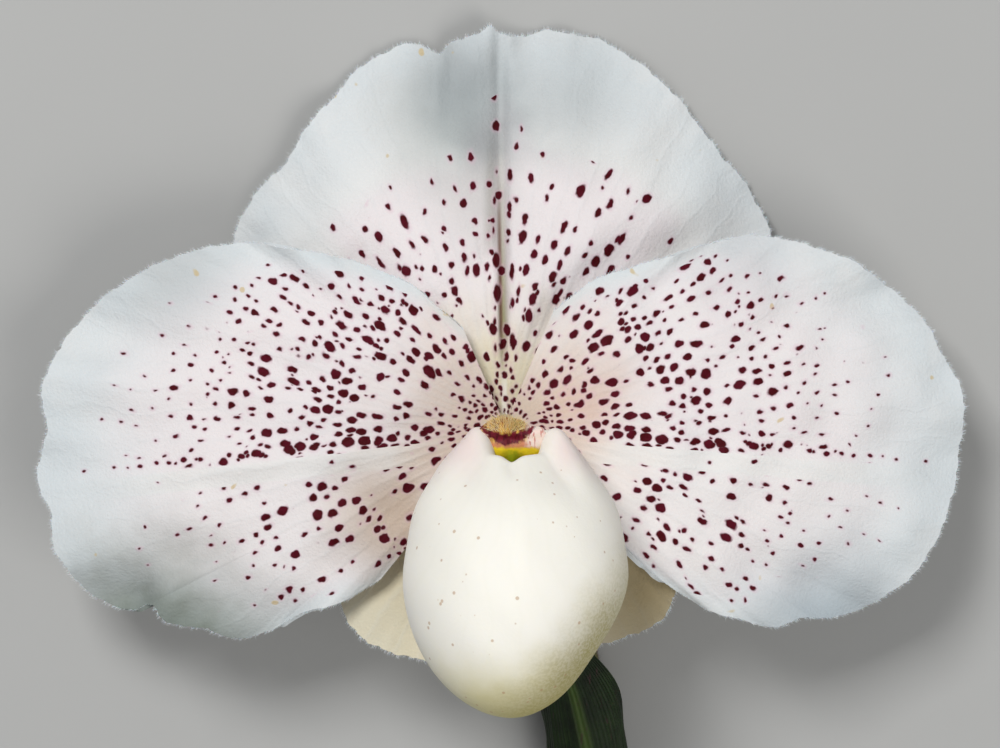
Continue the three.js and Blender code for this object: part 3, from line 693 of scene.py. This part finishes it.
def bladeSurface(settings):
    margin = lineThrough(settings["outline"])
    first, last = (math.atan2(y, x) for x, y in (settings["outline"][0], settings["outline"][-1]))
    sweep = (last - first) % (2 * math.pi)
    detail = bladeDetail
    draw = np.random.default_rng(settings["seed"])
    nibble = [[h, n, draw.random()] for h, n in detail["nibble"]]
    crimp = [[h, n, draw.random()] for h, n in detail["crimp"]]
    dents = [(draw.uniform(-1, 1) / 5, draw.uniform(-1, 1) / 5, draw.uniform(0, 6.28))
             for _ in range(detail["dents"])]

    def pointAt(across, out):
        angle = first + sweep * across
        edge = margin(across)
        edge = edge * (1 + waves(across, nibble) / np.linalg.norm(edge, axis=-1))[..., None]
        ring = bloom["rootRadius"]
        x = ring * np.cos(angle) * (1 - out) + edge[..., 0] * out
        y = ring * np.sin(angle) * (1 - out) + edge[..., 1] * out
        reach = np.hypot(x, y)
        z = settings["relief"](settings, x, y, reach)
        calm = clamp01(reach / settings["calmRadius"]) ** 2
        z = z + waves(across, settings["ripples"]) * out**4 * calm + waves(across, crimp) * out**9
        turn = np.arctan2(y, x) - settings["veinAngle"]
        ribs = 0.5 + 0.5 * np.cos(2 * np.pi * settings["veinCount"] * turn + np.pi)
        z = z + detail["ribHeight"] * ribs**3 * smoothStep(reach, 4, 9) * (1 - smoothStep(out, 0.85, 1.0))
        dent = sum(np.sin(2 * np.pi * (fx * x + fy * y) + p) for fx, fy, p in dents)
        z = z + detail["dentHeight"] * dent * smoothStep(reach, 3, 9)
        return x, y, z
    return pointAt


def buildBlade(name, settings, surface):
    # the cross product of outward and across faces the viewer, so the grid is turned round
    piece = gridPiece(name, settings["columns"], settings["rows"],
                      lambda u, v: toPart(*surface(u, v)), flip=True)
    thin = piece.vertex_groups.new(name="thick")
    corner = np.empty(len(piece.data.loops), int)
    piece.data.loops.foreach_get("vertex_index", corner)
    outward = np.zeros(len(piece.data.vertices))
    outward[corner] = [loop.uv[1] for loop in piece.data.uv_layers[0].data]
    steps = 20
    for level in range(steps + 1):
        chosen = np.flatnonzero(np.round(outward * steps) == level).tolist()
        thin.add(chosen, 1 - float(smoothStep(level / steps, 0.55, 1.0)), "REPLACE")
    giveWall(piece, settings["thickness"], vertex_group="thick", thickness_vertex_group=bloom["marginShare"])
    materials = [bladeMaterial(name + "Face", settings),
                 bladeMaterial(name + "Reverse", settings, reverse=True)]
    finishPiece(piece, settings["node"], materials, angle=60)


def buildFringe(name, settings, surface, material):
    # fine hairs along the free margin
    count = settings["hairs"]
    draw = np.random.default_rng(settings["seed"] + 100)
    along = np.sort(draw.random(count))
    depth = draw.random(count)
    edge = np.stack(surface(along, np.ones(count)), axis=-1)
    inner = np.stack(surface(along, np.full(count, 0.985)), axis=-1)
    ahead = np.stack(surface(np.minimum(along + 0.002, 1), np.ones(count)), axis=-1)
    tilt = draw.normal(0, 0.45, (count, 2))
    direction = unit(edge - inner) + unit(ahead - edge) * tilt[:, :1]
    direction[:, 2] += tilt[:, 1]
    edge[:, 2] -= depth * settings["thickness"] * bloom["marginShare"]
    lengths = bladeDetail["hairLength"] * draw.uniform(0.4, 1.3, count)
    furPiece(name, toPart(*edge.T), direction @ faceAxes, lengths, bladeDetail["hairRadius"],
             material)


def downMaterial(name, tone, paleTone=(1, 1, 1, 1)):
    b = newMaterial(name)
    # the hairs are flecked with a paler tone: their own tone on the white and stem down, painted highlight on
    # the gold down
    fleck = b.noise(b.coordinates("Object"), 900.0, 1.0)
    return finishMaterial(b, b.mix(fleck, tone, paleTone), Roughness=0.55, Sheen_Weight=0.4,
                          Specular_IOR_Level=0.3, Subsurface_Weight=0.3, Subsurface_Scale=0.3 * mm)


whiteDown = downMaterial("whiteDown", "#e9eef2")
for name, settings in blades.items():
    surface = bladeSurface(settings)
    buildBlade(name, settings, surface)
    buildFringe(name + "Fringe", settings, surface, whiteDown)
    print("blade", name)

# the slipper
slipper = {
    "middleX": 0.9, "middleY": -12.2, "halfWidth": 9.2, "halfHeight": 11.4, "frontDepth": 9.4,
    "backDepth": 6.7, "mouthZ": 5.7, "axisSlope": 0.18, "toePower": 1.86, "mouthTurn": math.radians(148),
    "mouthY": -1.55, "mouthDip": 1.1, "pinch": 0.08, "nip": 0.10, "notch": 0.44, "rollRadius": 1.0,
    "rollFrom": math.radians(38), "rollTo": math.radians(-115), "wall": 0.7, "bodyShare": 0.8, "sway": 0.4,
    "crest": 0.16, "claw": 1.9, "tuck": 0.85, "dent": 0.07, "lean": 0.16,
}


def slipperSurface(turnShare, travelled):
    # from the toe up the body to the rim, then round the inrolled rim
    s = slipper
    turn = 2 * np.pi * turnShare
    share = clamp01(travelled / s["bodyShare"])
    angle = s["mouthTurn"] * share
    power = np.where(angle < np.pi / 2, s["toePower"], 2.0)
    out = np.abs(np.sin(angle)) ** (2 / power)
    up = -np.sign(np.cos(angle)) * np.abs(np.cos(angle)) ** (2 / power)
    side, ahead = np.sin(turn), np.cos(turn)
    depth = np.where(ahead > 0, s["frontDepth"], s["backDepth"])
    plainY = s["middleY"] + s["halfHeight"] * up
    plainRim = s["middleY"] - s["halfHeight"] * math.cos(s["mouthTurn"])
    # the rim is level in front and rises steeply to its shoulders
    rightRise = smoothStep(side, 0.60, 0.92) - 0.2 * smoothStep(side, 0.8, 1.0)
    rise = np.where(side < 0, smoothStep(-side, 0.62, 0.96), rightRise)
    nearRim = smoothStep(share, 0.74, 1.0)
    lift = (s["mouthY"] - plainRim) * clamp01(2 * share - 1) ** 2 + s["mouthDip"] * (2 * rise - 1) * nearRim
    sway = s["sway"] * clamp01((s["middleY"] - plainY) / s["halfHeight"])
    nip = s["nip"] * (1 - 0.4 * side) * smoothStep(share, 0.88, 1.0)
    pinch = 1 - s["pinch"] * smoothStep(share, 0.7, 1.0) - nip
    # the toe is narrower on the right
    tuck = s["tuck"] * clamp01(3 * out) * np.maximum(side, 0) * bump(plainY, -19, 4)
    x = s["middleX"] - sway + s["halfWidth"] * out * side * pinch - tuck
    y = plainY + lift
    z = s["mouthZ"] + s["axisSlope"] * (s["mouthY"] - plainY) + depth * out * ahead
    # a small notch in the middle of the front rim
    frontRim = smoothStep(share, 0.9, 1.0) * smoothStep(ahead, 0.0, 0.5)
    y = y + (0.08 * np.abs(x - 0.5) - s["notch"] * bump(x, 0.45, 0.75)) * frontRim
    # behind, it narrows to a short claw that reaches down to the receptacle
    claw = smoothStep(-ahead, 0.1, 1.0) * nearRim
    x = x + (0.5 - x) * 0.4 * claw
    y = y + 0.3 * claw
    z = z - s["claw"] * claw
    # a low crest down the front, and a few soft dents
    front = clamp01(ahead) ** 2
    z = z + s["crest"] * bump(x, 1.1, 1.3) * front * bump(y, -8.5, 6)
    z = z + s["dent"] * np.sin(1.1 * x + 0.7 * y + 0.4) * front * np.sin(0.45 * y)
    x = x + s["lean"] * np.sin(0.9 * y + 1.2) * side * bump(y, -6, 5)
    rolled = between(s["rollFrom"], s["rollTo"], clamp01((travelled - s["bodyShare"]) / (1 - s["bodyShare"])))
    inX, inZ = -side * s["halfWidth"], -ahead * depth
    norm = np.hypot(inX, inZ)
    travel = s["rollRadius"] * (math.sin(s["rollFrom"]) - np.sin(rolled))
    beyond = travelled > s["bodyShare"]
    x = np.where(beyond, x + inX / norm * travel, x)
    z = np.where(beyond, z + inZ / norm * travel, z)
    y = np.where(beyond, y + s["rollRadius"] * (np.cos(rolled) - math.cos(s["rollFrom"])), y)
    return x, y, z


def slipperMaterial(name, inside=False):
    b = newMaterial(name)
    place = b.flowerPlace()
    x, y, _ = b.split(place)
    patch = b.noise(place, 0.22, 3.0, 0.55)
    base = b.mix(b.fade(b.scaled(patch, 4.0, y), -14.0, -23.0), "#fbf6e9", "#d6cc94")
    # the toe is stippled with green, most of all low on the right, where the dark olive is also painted shade
    lowRight = b.minus(b.times(x, 1.2), b.plus(y, b.times(patch, 4.0)))
    stipple = b.fade(b.noise(place, 4.0, 2.0, 0.6), 0.4, 0.6, 0.75, 1.0)
    base = b.mix(b.times(b.fade(lowRight, 16.5, 26.0, 0.0, 0.9), stipple), base, "#9c9146")
    pink = b.times(b.fade(y, -5.5, -1.5), b.fade(b.off(x, 1.0), 1.8, 4.0))
    base = b.mix(b.times(pink, b.fade(patch, 0.25, 0.6, 0.3, 0.7)), base, "#ecd2d0")
    # sparse tan specks
    cell = b.node("ShaderNodeTexVoronoi", {"Vector": place, "Scale": 1.0, "Randomness": 1.0}).outputs
    speckRadius = b.fade(b.channels(cell[1])[0], 0.2, 1.0, 0.0, 0.15)
    speck = b.times(b.fade(b.minus(cell[0], speckRadius), 0.035, -0.035, 0.0, 0.6),
                    b.fade(speckRadius, 0.03, 0.06))
    base = b.mix(speck, base, "#b98f6a")
    vein = b.group(veins, place=place, count=7.0, waver=0.35)[0]
    base = b.mix(b.times(vein, 0.02), base, "#c9c79a")
    if inside:
        base = b.mix(0.55, base, "#e6d58a")
    grain = b.group(skin, place=place, scale=0.8)[0]
    return finishMaterial(
        b, base, grain, (0.05, 0.35), grain, (0.46, 0.62), Subsurface_Weight=0.25,
        Subsurface_Radius=(1.0, 0.85, 0.6), Subsurface_Scale=2.0 * mm, Sheen_Weight=0.06,
        Specular_IOR_Level=0.15)


slipperPiece = closedPiece("slipper", 180, 130, lambda u, v: toPart(*slipperSurface(u, v)))
giveWall(slipperPiece, slipper["wall"])
finishPiece(slipperPiece, "lip_pouch",
            [slipperMaterial("slipperCream"), slipperMaterial("slipperInside", True)], angle=70)
print("slipper")

# the column with its stigma and anthers
column = {
    "tip": (0.65, -0.7, 7.1), "footRadius": 1.3, "tipRadius": 0.95, "padEnd": 0.4, "stalkEnd": 0.85,
    "stalkStart": 0.12, "dome": 0.5,
    "path": [(0.1, -0.75, -0.5), (0.2, -0.85, 2.0), (0.4, -0.9, 4.4), (0.65, -0.85, 7.1)],
    "pad": [(0.0, -2.3), (2.4, -2.3), (2.85, -2.05), (2.95, -1.7), (2.6, -1.25), (1.9, -0.85), (0.75, -0.8)],
}


def columnSurface(turnShare, rise):
    # the pad that carries the blades, then the stalk, then its rounded end
    s = column
    turn = 2 * np.pi * turnShare
    onPad = clamp01(rise / s["padEnd"])
    onStalk = clamp01((rise - s["padEnd"]) / (s["stalkEnd"] - s["padEnd"]))
    onEnd = clamp01((rise - s["stalkEnd"]) / (1 - s["stalkEnd"])) * np.pi / 2
    ring = lineThrough(s["pad"])(onPad)
    centre = lineThrough(s["path"], centripetal=True)(between(s["stalkStart"], 1, onStalk))
    radius = between(s["footRadius"], s["tipRadius"], smoothStep(onStalk, 0.0, 0.5))
    radius = radius * np.cos(onEnd) * (1 + 0.05 * np.cos(3 * turn + 0.5))
    first = rise <= s["padEnd"]
    x = np.where(first, ring[..., 0] * np.cos(turn), centre[..., 0] + radius * np.cos(turn))
    y = np.where(first, ring[..., 0] * np.sin(turn), centre[..., 1] + radius * np.sin(turn))
    z = np.where(first, ring[..., 1], centre[..., 2] + s["dome"] * np.sin(onEnd))
    return x, y, z


def columnMaterial():
    # tan like the petals' foot, with the same dark dots
    b = newMaterial("columnTan")
    place = b.flowerPlace()
    base = b.mix(b.fade(b.noise(place, 1.2, 3.0, 0.6), 0.35, 0.65), "#dcc69b", "#c79a68")
    base = b.mix(b.fade(b.noise(place, 2.6, 1.0), 0.60, 0.66, 0.0, 0.9), base, "#5a1420")
    grain = b.group(skin, place=place, scale=1.3)[0]
    return finishMaterial(b, base, grain, (0.05, 0.6), grain, (0.42, 0.6),
                          Subsurface_Weight=0.2, Subsurface_Scale=1.0 * mm)


def plainMaterial(name, first, second, scale, rough, depth, **values):
    b = newMaterial(name)
    place = b.flowerPlace()
    base = b.mix(b.fade(b.noise(place, scale, 4.0, 0.6), 0.3, 0.7), first, second)
    grain = b.group(skin, place=place, scale=1.3)[0]
    return finishMaterial(b, base, grain, (depth, 0.6), grain, rough, **values)


def ballPiece(name, centre, radii, segments, rings, knobs, seed):
    deselectAll()
    bpy.ops.mesh.primitive_uv_sphere_add(segments=segments, ring_count=rings, radius=1)
    piece = bpy.context.object
    piece.name = piece.data.name = name
    points = readPoints(piece)
    draw = np.random.default_rng(seed)
    swell = np.ones(len(points))
    for _ in range(6):
        aim = unit(draw.normal(size=3))
        swell += knobs * np.sin(3.5 * points @ aim + draw.uniform(0, 6.28))
    writePoints(piece, toPart(*(points * swell[:, None] * radii + centre).T))
    return piece


columnPiece = closedPiece("column", 72, 80, lambda u, v: toPart(*columnSurface(u, v)))
finishPiece(columnPiece, "column", [columnMaterial()])
tip = np.array(column["tip"])
stigma = ballPiece("stigma", tip + (-0.15, -1.05, -2.7), (1.37, 0.94, 1.25), 40, 24, 0.02, 4)
finishPiece(stigma, None,
            [plainMaterial("stigmaCream", "#e8dfb2", "#cfc78a", 1.2, (0.22, 0.4), 0.05, Coat_Weight=0.3)])
pollenMaterial = plainMaterial("pollenYellow", "#d9a92b", "#e9c65a", 2.0, (0.37, 0.55), 0.08, Coat_Weight=0.2)
for name, node, side in (("antherLeft", "anther_left", -1), ("antherRight", "anther_right", 1)):
    anther = ballPiece(name, tip + (side * 1.84, -0.45, -1.1), (0.37, 0.43, 0.47), 32, 20, 0.035, 7 + side)
    finishPiece(anther, node, [pollenMaterial])

# the shield over the mouth
shield = {
    "middle": (0.7, -1.15, 8.1), "thickness": 0.8, "crown": 0.45, "tilt": math.radians(10),
    "groove": 0.16, "brow": 0.30, "hollow": 0.24, "unevenness": 0.03, "hairsTried": 2400, "hairRadius": 0.026,
    "outline": [
        (3.45, -1.0), (3.1, -0.2), (2.05, 0.0), (1.35, 0.42), (0.3, 0.68), (-0.9, 0.58), (-1.6, 0.15),
        (-2.1, -0.35), (-2.0, -1.2), (-1.65, -2.1), (-1.0, -2.72), (0.0, -2.88), (0.6, -3.3), (1.2, -2.88),
        (2.5, -2.8), (3.25, -2.1)],
}
shieldMargin = lineThrough(shield["outline"] + shield["outline"][:1])


def shieldSurface(turnShare, rise):
    # a lens from the middle of its face, over its margin, to the middle of its back
    s = shield
    edge = shieldMargin(turnShare)
    out = np.sin(np.pi * rise)
    x = (edge[..., 0] - s["middle"][0]) * out
    y = (edge[..., 1] - s["middle"][1]) * out
    z = s["thickness"] / 2 * np.cos(np.pi * rise) - s["crown"] * out**2
    calm = (1 - out**2) * (rise <= 0.5)
    z = z - s["groove"] * bump(x, -0.2, 0.4) * calm          # down the middle
    z = z + s["brow"] * bump(y, 0.95, 0.5) * calm            # where the hairs stand
    z = z - s["hollow"] * bump(y, 0.15, 0.35) * calm         # the dark crescent
    z = z + s["unevenness"] * np.sin(4.5 * x + 2 * y) * np.sin(3.8 * y) * calm
    across, up = math.cos(s["tilt"]), math.sin(s["tilt"])
    y, z = y * across - z * up, y * up + z * across
    return x + s["middle"][0], y + s["middle"][1], z + s["middle"][2]


def shieldMaterial():
    b = newMaterial("shieldPainted")
    place = b.flowerPlace()
    x, y, _ = b.split(b.vector("ADD", place, b.wander(place, 2.2, 3.0, (0.7, 0.7, 0.0))))
    streak = b.noise(b.vector("MULTIPLY", place, (3.0, 0.7, 1.0)), 1.6, 3.0, 0.6)
    # a hairy gold brow, then pale flanks, a yellow band and a green tooth
    base = b.mix(b.fade(streak, 0.40, 0.62), "#d8ac52", "#7a3a2a")
    base = b.mix(b.fade(y, -1.2, -1.5), base, "#d08a62")
    base = b.mix(b.times(b.fade(x, -1.1, -1.6), b.fade(y, -0.2, -0.7)), base, "#e6c6bd")
    base = b.mix(b.times(b.fade(x, 1.4, 2.2), b.fade(y, -2.0, -1.5)), base,
                 b.mix(b.fade(streak, 0.52, 0.6), "#f0dcd2", "#d39a90"))
    base = b.mix(b.fade(y, -1.62, -1.95), base, "#f6d92c")
    base = b.mix(b.times(b.fade(x, 2.5, 3.4), b.fade(y, -1.4, -1.7)), base, "#f0dda0")
    base = b.mix(b.times(b.fade(b.off(x, 0.6), 1.0, 0.2), b.fade(y, -1.85, -2.35)), base, "#a3ab1e")
    # the maroon crescent lies on a curve like a smile
    fromMiddle = b.minus(x, 0.2)
    smile = b.scaled(b.times(fromMiddle, fromMiddle), 0.23, -1.1)
    half = b.fade(b.off(fromMiddle), 2.5, 0.6, 0.14, 0.44)
    crescent = b.fade(b.minus(b.off(y, smile), half), 0.14, -0.14)
    base = b.mix(crescent, base, b.mix(b.fade(streak, 0.3, 0.7), "#4a0614", "#7a1c2e"))
    grain = b.group(skin, place=place, scale=1.6)[0]
    return finishMaterial(b, base, grain, (0.06, 0.6), grain, (0.34, 0.5), Subsurface_Weight=0.15,
                          Subsurface_Scale=0.4 * mm, Specular_IOR_Level=0.2)


def buildShieldHairs():
    # hairs stand on the brow, above the crescent
    draw = np.random.default_rng(41)
    tried = shield["hairsTried"]
    root = np.stack(shieldSurface(draw.random(tried), np.arcsin(draw.random(tried) ** 0.5) / np.pi), axis=-1)
    root = root[root[:, 1] > -0.55 + 0.16 * root[:, 0] ** 2]
    root = root[np.abs(root[:, 0] - 0.05) < 1.5]
    aim = (root - np.array([0.05, -0.9, 7.5])) * (1.0, 1.0, 0.7) + draw.normal(0, 0.18, root.shape)
    lengths = draw.uniform(0.3, 0.75, len(root))
    furPiece("shieldHairs", toPart(*root.T), aim @ faceAxes, lengths, shield["hairRadius"],
             downMaterial("goldDown", "#e0b347", "#fdf3cf"))


shieldPiece = closedPiece("shield", 128, 64, lambda u, v: toPart(*shieldSurface(u, v)))
finishPiece(shieldPiece, "staminode", [shieldMaterial()], angle=60)
buildShieldHairs()
print("column and shield")

# ovary, bract and scape, whose paths are in part axes
towardsTable = np.array([0, -math.sin(bloom["lean"]), -math.cos(bloom["lean"])])
ovary = {
    "radius": 2.05, "endRadius": 1.6, "ribs": 6, "ribDepth": 0.16, "twist": 1.2,
    "path": [tuple(np.array(bloom["heart"]) + 2.2 * towardsTable), (0.6, 22.2, 6.2), (1.3, 19.4, 3.6),
             (2.9, 14.8, 2.6), (5.1, 7.5, 2.45), (7.0, -1.0, 2.45), (7.9, -9.5, 2.45), (8.1, -17.1, 2.35)],
}
scape = {
    "topRadius": 1.65, "footRadius": 1.9, "nodeSwell": 0.3,
    "path": [(8.1, -16.6, 2.35), (8.2, -27.0, 2.9), (7.6, -38.0, 3.1), (6.5, -47.5, 2.65),
             (5.0, -55.7, 1.86)],
}
bract = {
    "start": 0.98, "tip": 0.52, "tipShift": (-0.3, 0, 0.9), "radius": 3.15, "flare": 0.35,
    "wrap": math.radians(98), "footTurn": math.radians(16), "tipTurn": math.radians(-14),
    "keel": 0.35, "grip": 0.33, "thickness": 0.5, "ribs": 9, "ribDepth": 0.05, "waveDepth": 0.12,
}
stemHair = {"count": 3600, "radius": 0.018, "start": 0.02, "end": 0.98}
ovaryLine = lineThrough(ovary["path"], centripetal=True)
scapeLine = lineThrough(scape["path"], centripetal=True)


def tubeFrame(line, along):
    ahead = unit(line(np.minimum(along + 0.01, 1)) - line(np.maximum(along - 0.01, 0)))
    side = unit(np.cross(ahead, [1.0, 0, 0]))
    return line(along), side, np.cross(ahead, side), ahead


def tubeSurface(line, radiusAt, dome, capShare=0.03):
    # the first and last stretch of v close the ends
    def pointAt(u, v):
        turn = 2 * np.pi * u
        along = clamp01((v - capShare) / (1 - 2 * capShare))
        centre, side, other, ahead = tubeFrame(line, along)
        endShare = np.where(v < capShare, v / capShare, np.where(v > 1 - capShare, (1 - v) / capShare, 1.0))
        radius = radiusAt(along, turn) * endShare**0.5
        bulge = dome * (1 - endShare) * np.where(v < 0.5, -1, 1)
        aside = side * (radius * np.cos(turn))[..., None]
        over = other * (radius * np.sin(turn))[..., None]
        return (centre + aside + over + ahead * bulge[..., None]) * mm
    return pointAt


def ovaryRadius(along, turn):
    swell = (ovary["radius"] - ovary["endRadius"]) * np.sin(np.pi * (0.25 + 0.65 * along))
    ribs = np.cos(ovary["ribs"] * turn + ovary["twist"] * along * 2)
    ribbed = ovary["endRadius"] + swell + ovary["ribDepth"] * (ribs - 0.4 * np.abs(ribs))
    return ribbed + 0.02 * np.sin(40 * along + turn)


def scapeRadius(along, turn):
    grow = between(scape["topRadius"], scape["footRadius"], along) + scape["nodeSwell"] * bump(along, 0, 0.04)
    return grow + 0.04 * np.cos(5 * turn + 3 * along) + 0.05 * np.sin(9 * along + 2 * turn)


def bractSurface(across, out):
    s = bract
    along = between(s["start"], s["tip"], out)
    centre = ovaryLine(along) + np.array(s["tipShift"]) * (out**2)[..., None]
    ahead = ovaryLine(np.minimum(along + 0.01, 1)) - ovaryLine(along - 0.01)
    side = unit(np.stack([-ahead[..., 1], ahead[..., 0], np.zeros_like(out)], axis=-1))
    width = np.cos(0.5 * np.pi * (0.97 * out) ** 2.6)
    angle = between(s["footTurn"], s["tipTurn"], out) + s["wrap"] * width * (1 - 2 * across)
    away = s["radius"] + s["flare"] * np.sin(np.pi * out) + s["keel"] * bump(across, 0.5, 0.12)
    away = away - s["grip"] * bump(out, 0, 0.3)              # the foot closes round the stem
    away = away + s["ribDepth"] * np.cos(2 * np.pi * s["ribs"] * across) * (1 - out**4)
    away = away + s["waveDepth"] * np.sin(2 * np.pi * (3.2 * out + across)) * (2 * across - 1) ** 2
    point = centre + side * (away * np.sin(angle))[..., None]
    point[..., 2] += away * np.cos(angle)
    return point * mm


def stemMaterial(name, first, second, ribbed=0.0):
    b = newMaterial(name)
    place = b.partPlace()
    patch = b.noise(b.vector("MULTIPLY", place, (1.0, 0.35, 1.0)), 0.5, 4.0, 0.6)
    base = b.mix(b.fade(patch, 0.35, 0.65), first, second)
    rib = b.math("COSINE", b.times(b.split(b.coordinates("UV"))[0], 2 * math.pi * ovary["ribs"]))
    base = b.mix(b.fade(rib, 0.2, 1.0, 0.0, ribbed), base, "#7d8a45")
    base = b.mix(b.fade(b.noise(place, 3.2, 2.0), 0.6, 0.68, 0.0, 0.7), base, "#3a1626")
    grain = b.group(skin, place=place, scale=1.2)[0]
    return finishMaterial(
        b, base, grain, (0.08, 0.7), grain, (0.5, 0.7), Sheen_Weight=0.3, Sheen_Roughness=0.5,
        Subsurface_Weight=0.08, Subsurface_Scale=0.8 * mm, Specular_IOR_Level=0.35)


def cutMaterial():
    b = newMaterial("stemCut")
    dots = b.node("ShaderNodeTexVoronoi", {"Vector": b.partPlace(), "Scale": 2.4}).outputs[0]
    base = b.mix(b.fade(dots, 0.15, 0.3), "#8c8a4a", "#cfd09a")
    return finishMaterial(b, base, dots, (0.08, 0.5), Roughness=0.4, Subsurface_Weight=0.2,
                          Subsurface_Scale=0.8 * mm)


def bractMaterial(name, inside=False):
    b = newMaterial(name)
    place = b.partPlace()
    u = b.split(b.coordinates("UV"))[0]
    # fine parallel veins that waver a little, and a paler ridge down the middle
    lines = b.math("COSINE", b.times(b.plus(u, b.times(b.noise(place, 0.3), 0.01)), 2 * math.pi * 27))
    # the bract's own dark green, darkened further as painted shade
    base = b.mix(b.fade(b.noise(place, 0.35, 4.0, 0.65), 0.3, 0.7), "#131e0c", "#253817")
    base = b.mix(b.fade(lines, 0.2, 1.0, 0.0, 0.45), base, "#131f0b")
    base = b.mix(b.fade(b.off(u, 0.5), 0.07, 0.0, 0.0, 0.7), base, "#50662c")
    blush = b.noise(b.vector("MULTIPLY", place, (2.5, 0.5, 2.5)), 1.0, 3.0)
    base = b.mix(b.fade(blush, 0.62, 0.7, 0.0, 0.5), base, "#4a2a30")
    if inside:
        base = b.mix(0.35, base, "#8fa45e")
    height = b.scaled(lines, 0.5, b.group(skin, place=place, scale=1.0)[0])
    return finishMaterial(b, base, height, (0.08, 0.7), Roughness=0.6, Specular_IOR_Level=0.25,
                          Subsurface_Weight=0.1, Subsurface_Scale=0.8 * mm)


def paintCut(piece):
    # faces on the scape's cut end take the second material
    end = scapeLine(1.0) * mm
    ahead = unit(scapeLine(1.0) - scapeLine(0.98))
    for face in piece.data.polygons:
        if (np.array(face.center) - end) @ ahead > -0.02 * mm and np.array(face.normal) @ ahead > 0.7:
            face.material_index = 1


def buildStemHairs(name, line, radiusAt, material, seed):
    count = stemHair["count"]
    draw = np.random.default_rng(seed)
    along = draw.uniform(stemHair["start"], stemHair["end"], count)
    turn = draw.uniform(0, 2 * np.pi, count)
    centre, side, other, ahead = tubeFrame(line, along)
    away = side * np.cos(turn)[:, None] + other * np.sin(turn)[:, None]
    roots = centre + away * radiusAt(along, turn)[:, None]
    aim = away + ahead * draw.normal(-0.25, 0.35, count)[:, None] + draw.normal(0, 0.2, (count, 3))
    furPiece(name, roots * mm, aim, draw.uniform(0.2, 0.5, count), stemHair["radius"], material)


ovaryPiece = closedPiece("ovary", 96, 150, tubeSurface(ovaryLine, ovaryRadius, dome=0.3))
finishPiece(ovaryPiece, "ovary", [stemMaterial("ovaryGreen", "#5d6a35", "#6b4a48", 0.5)], angle=70)
scapePiece = closedPiece("scape", 64, 120, tubeSurface(scapeLine, scapeRadius, dome=0.15))
finishPiece(scapePiece, "scape",
            [stemMaterial("scapePurple", "#5a5334", "#51323a"), cutMaterial()], angle=40)
paintCut(scapePiece)
bractPiece = gridPiece("bract", 90, 110, bractSurface, flip=True)
giveWall(bractPiece, bract["thickness"])
finishPiece(bractPiece, "bract",
            [bractMaterial("bractGreen"), bractMaterial("bractInside", True)], angle=60)
stemDown = downMaterial("stemDown", "#8d6f6c", "#c9b9a4")
buildStemHairs("ovaryDown", ovaryLine, ovaryRadius, stemDown, 51)
buildStemHairs("scapeDown", scapeLine, scapeRadius, stemDown, 52)
print("stem")

# floor, light and camera; the lights' places and sizes are metres
studio = {
    "floor": "#b4b4b2", "floorSpeck": "#b0b0ae", "floorSize": 3.0,
    "distance": 350.0, "frameWidth": 83.3, "target": (-0.4, 4.25, 0.0), "sensor": 36.0,
    "keyLight": ((-0.15, 0.32, 0.42), 0.17, 1.94, (1.0, 1.0, 1.0)),       # place, size, watts, tint
    "fillLight": ((0.24, -0.16, 0.40), 0.30, 0.86, (1.0, 0.985, 0.96)),
    "sky": (0.92, 0.95, 1.0, 1.0), "skyStrength": 0.25,
}


def buildFloor():
    deselectAll()
    bpy.ops.mesh.primitive_grid_add(x_subdivisions=8, y_subdivisions=8, size=studio["floorSize"])
    floor = bpy.context.object
    floor.name = "floor"
    b = newMaterial("floorPaper")
    base = b.mix(b.noise(b.coordinates("Object"), 40.0, 3.0), studio["floor"], studio["floorSpeck"])
    floor.data.materials.append(finishMaterial(b, base, Roughness=0.85, Specular_IOR_Level=0.2))


def buildLight(name):
    place, size, power, tint = studio[name]
    deselectAll()
    bpy.ops.object.light_add(type="AREA", location=place)
    lamp = bpy.context.object
    lamp.name = name
    lamp.data.size = size
    lamp.data.energy = power
    lamp.data.color = tint
    lamp.rotation_euler = (heart * mm - Vector(place)).to_track_quat("-Z", "Y").to_euler()


def buildWorld():
    world = bpy.data.worlds.new("studio")
    bpy.context.scene.world = world
    world.use_nodes = True
    sky = world.node_tree.nodes["Background"].inputs
    sky["Color"].default_value = studio["sky"]
    sky["Strength"].default_value = studio["skyStrength"]
    bpy.context.scene.view_settings.view_transform = "Standard"


def buildCamera():
    target = heart * mm + faceTurn.to_3x3() @ Vector(studio["target"]) * mm
    outOfFace = faceTurn.to_3x3() @ Vector((0, 0, 1))
    bpy.ops.object.camera_add(location=target + outOfFace * studio["distance"] * mm,
                              rotation=(-bloom["lean"], 0, 0))
    camera = bpy.context.object
    camera.data.sensor_width = studio["sensor"]
    camera.data.lens = studio["sensor"] * studio["distance"] / studio["frameWidth"]
    camera.data.clip_start = 0.01
    bpy.context.scene.camera = camera


buildFloor()
buildLight("keyLight")
buildLight("fillLight")
buildWorld()
buildCamera()
print("studio")
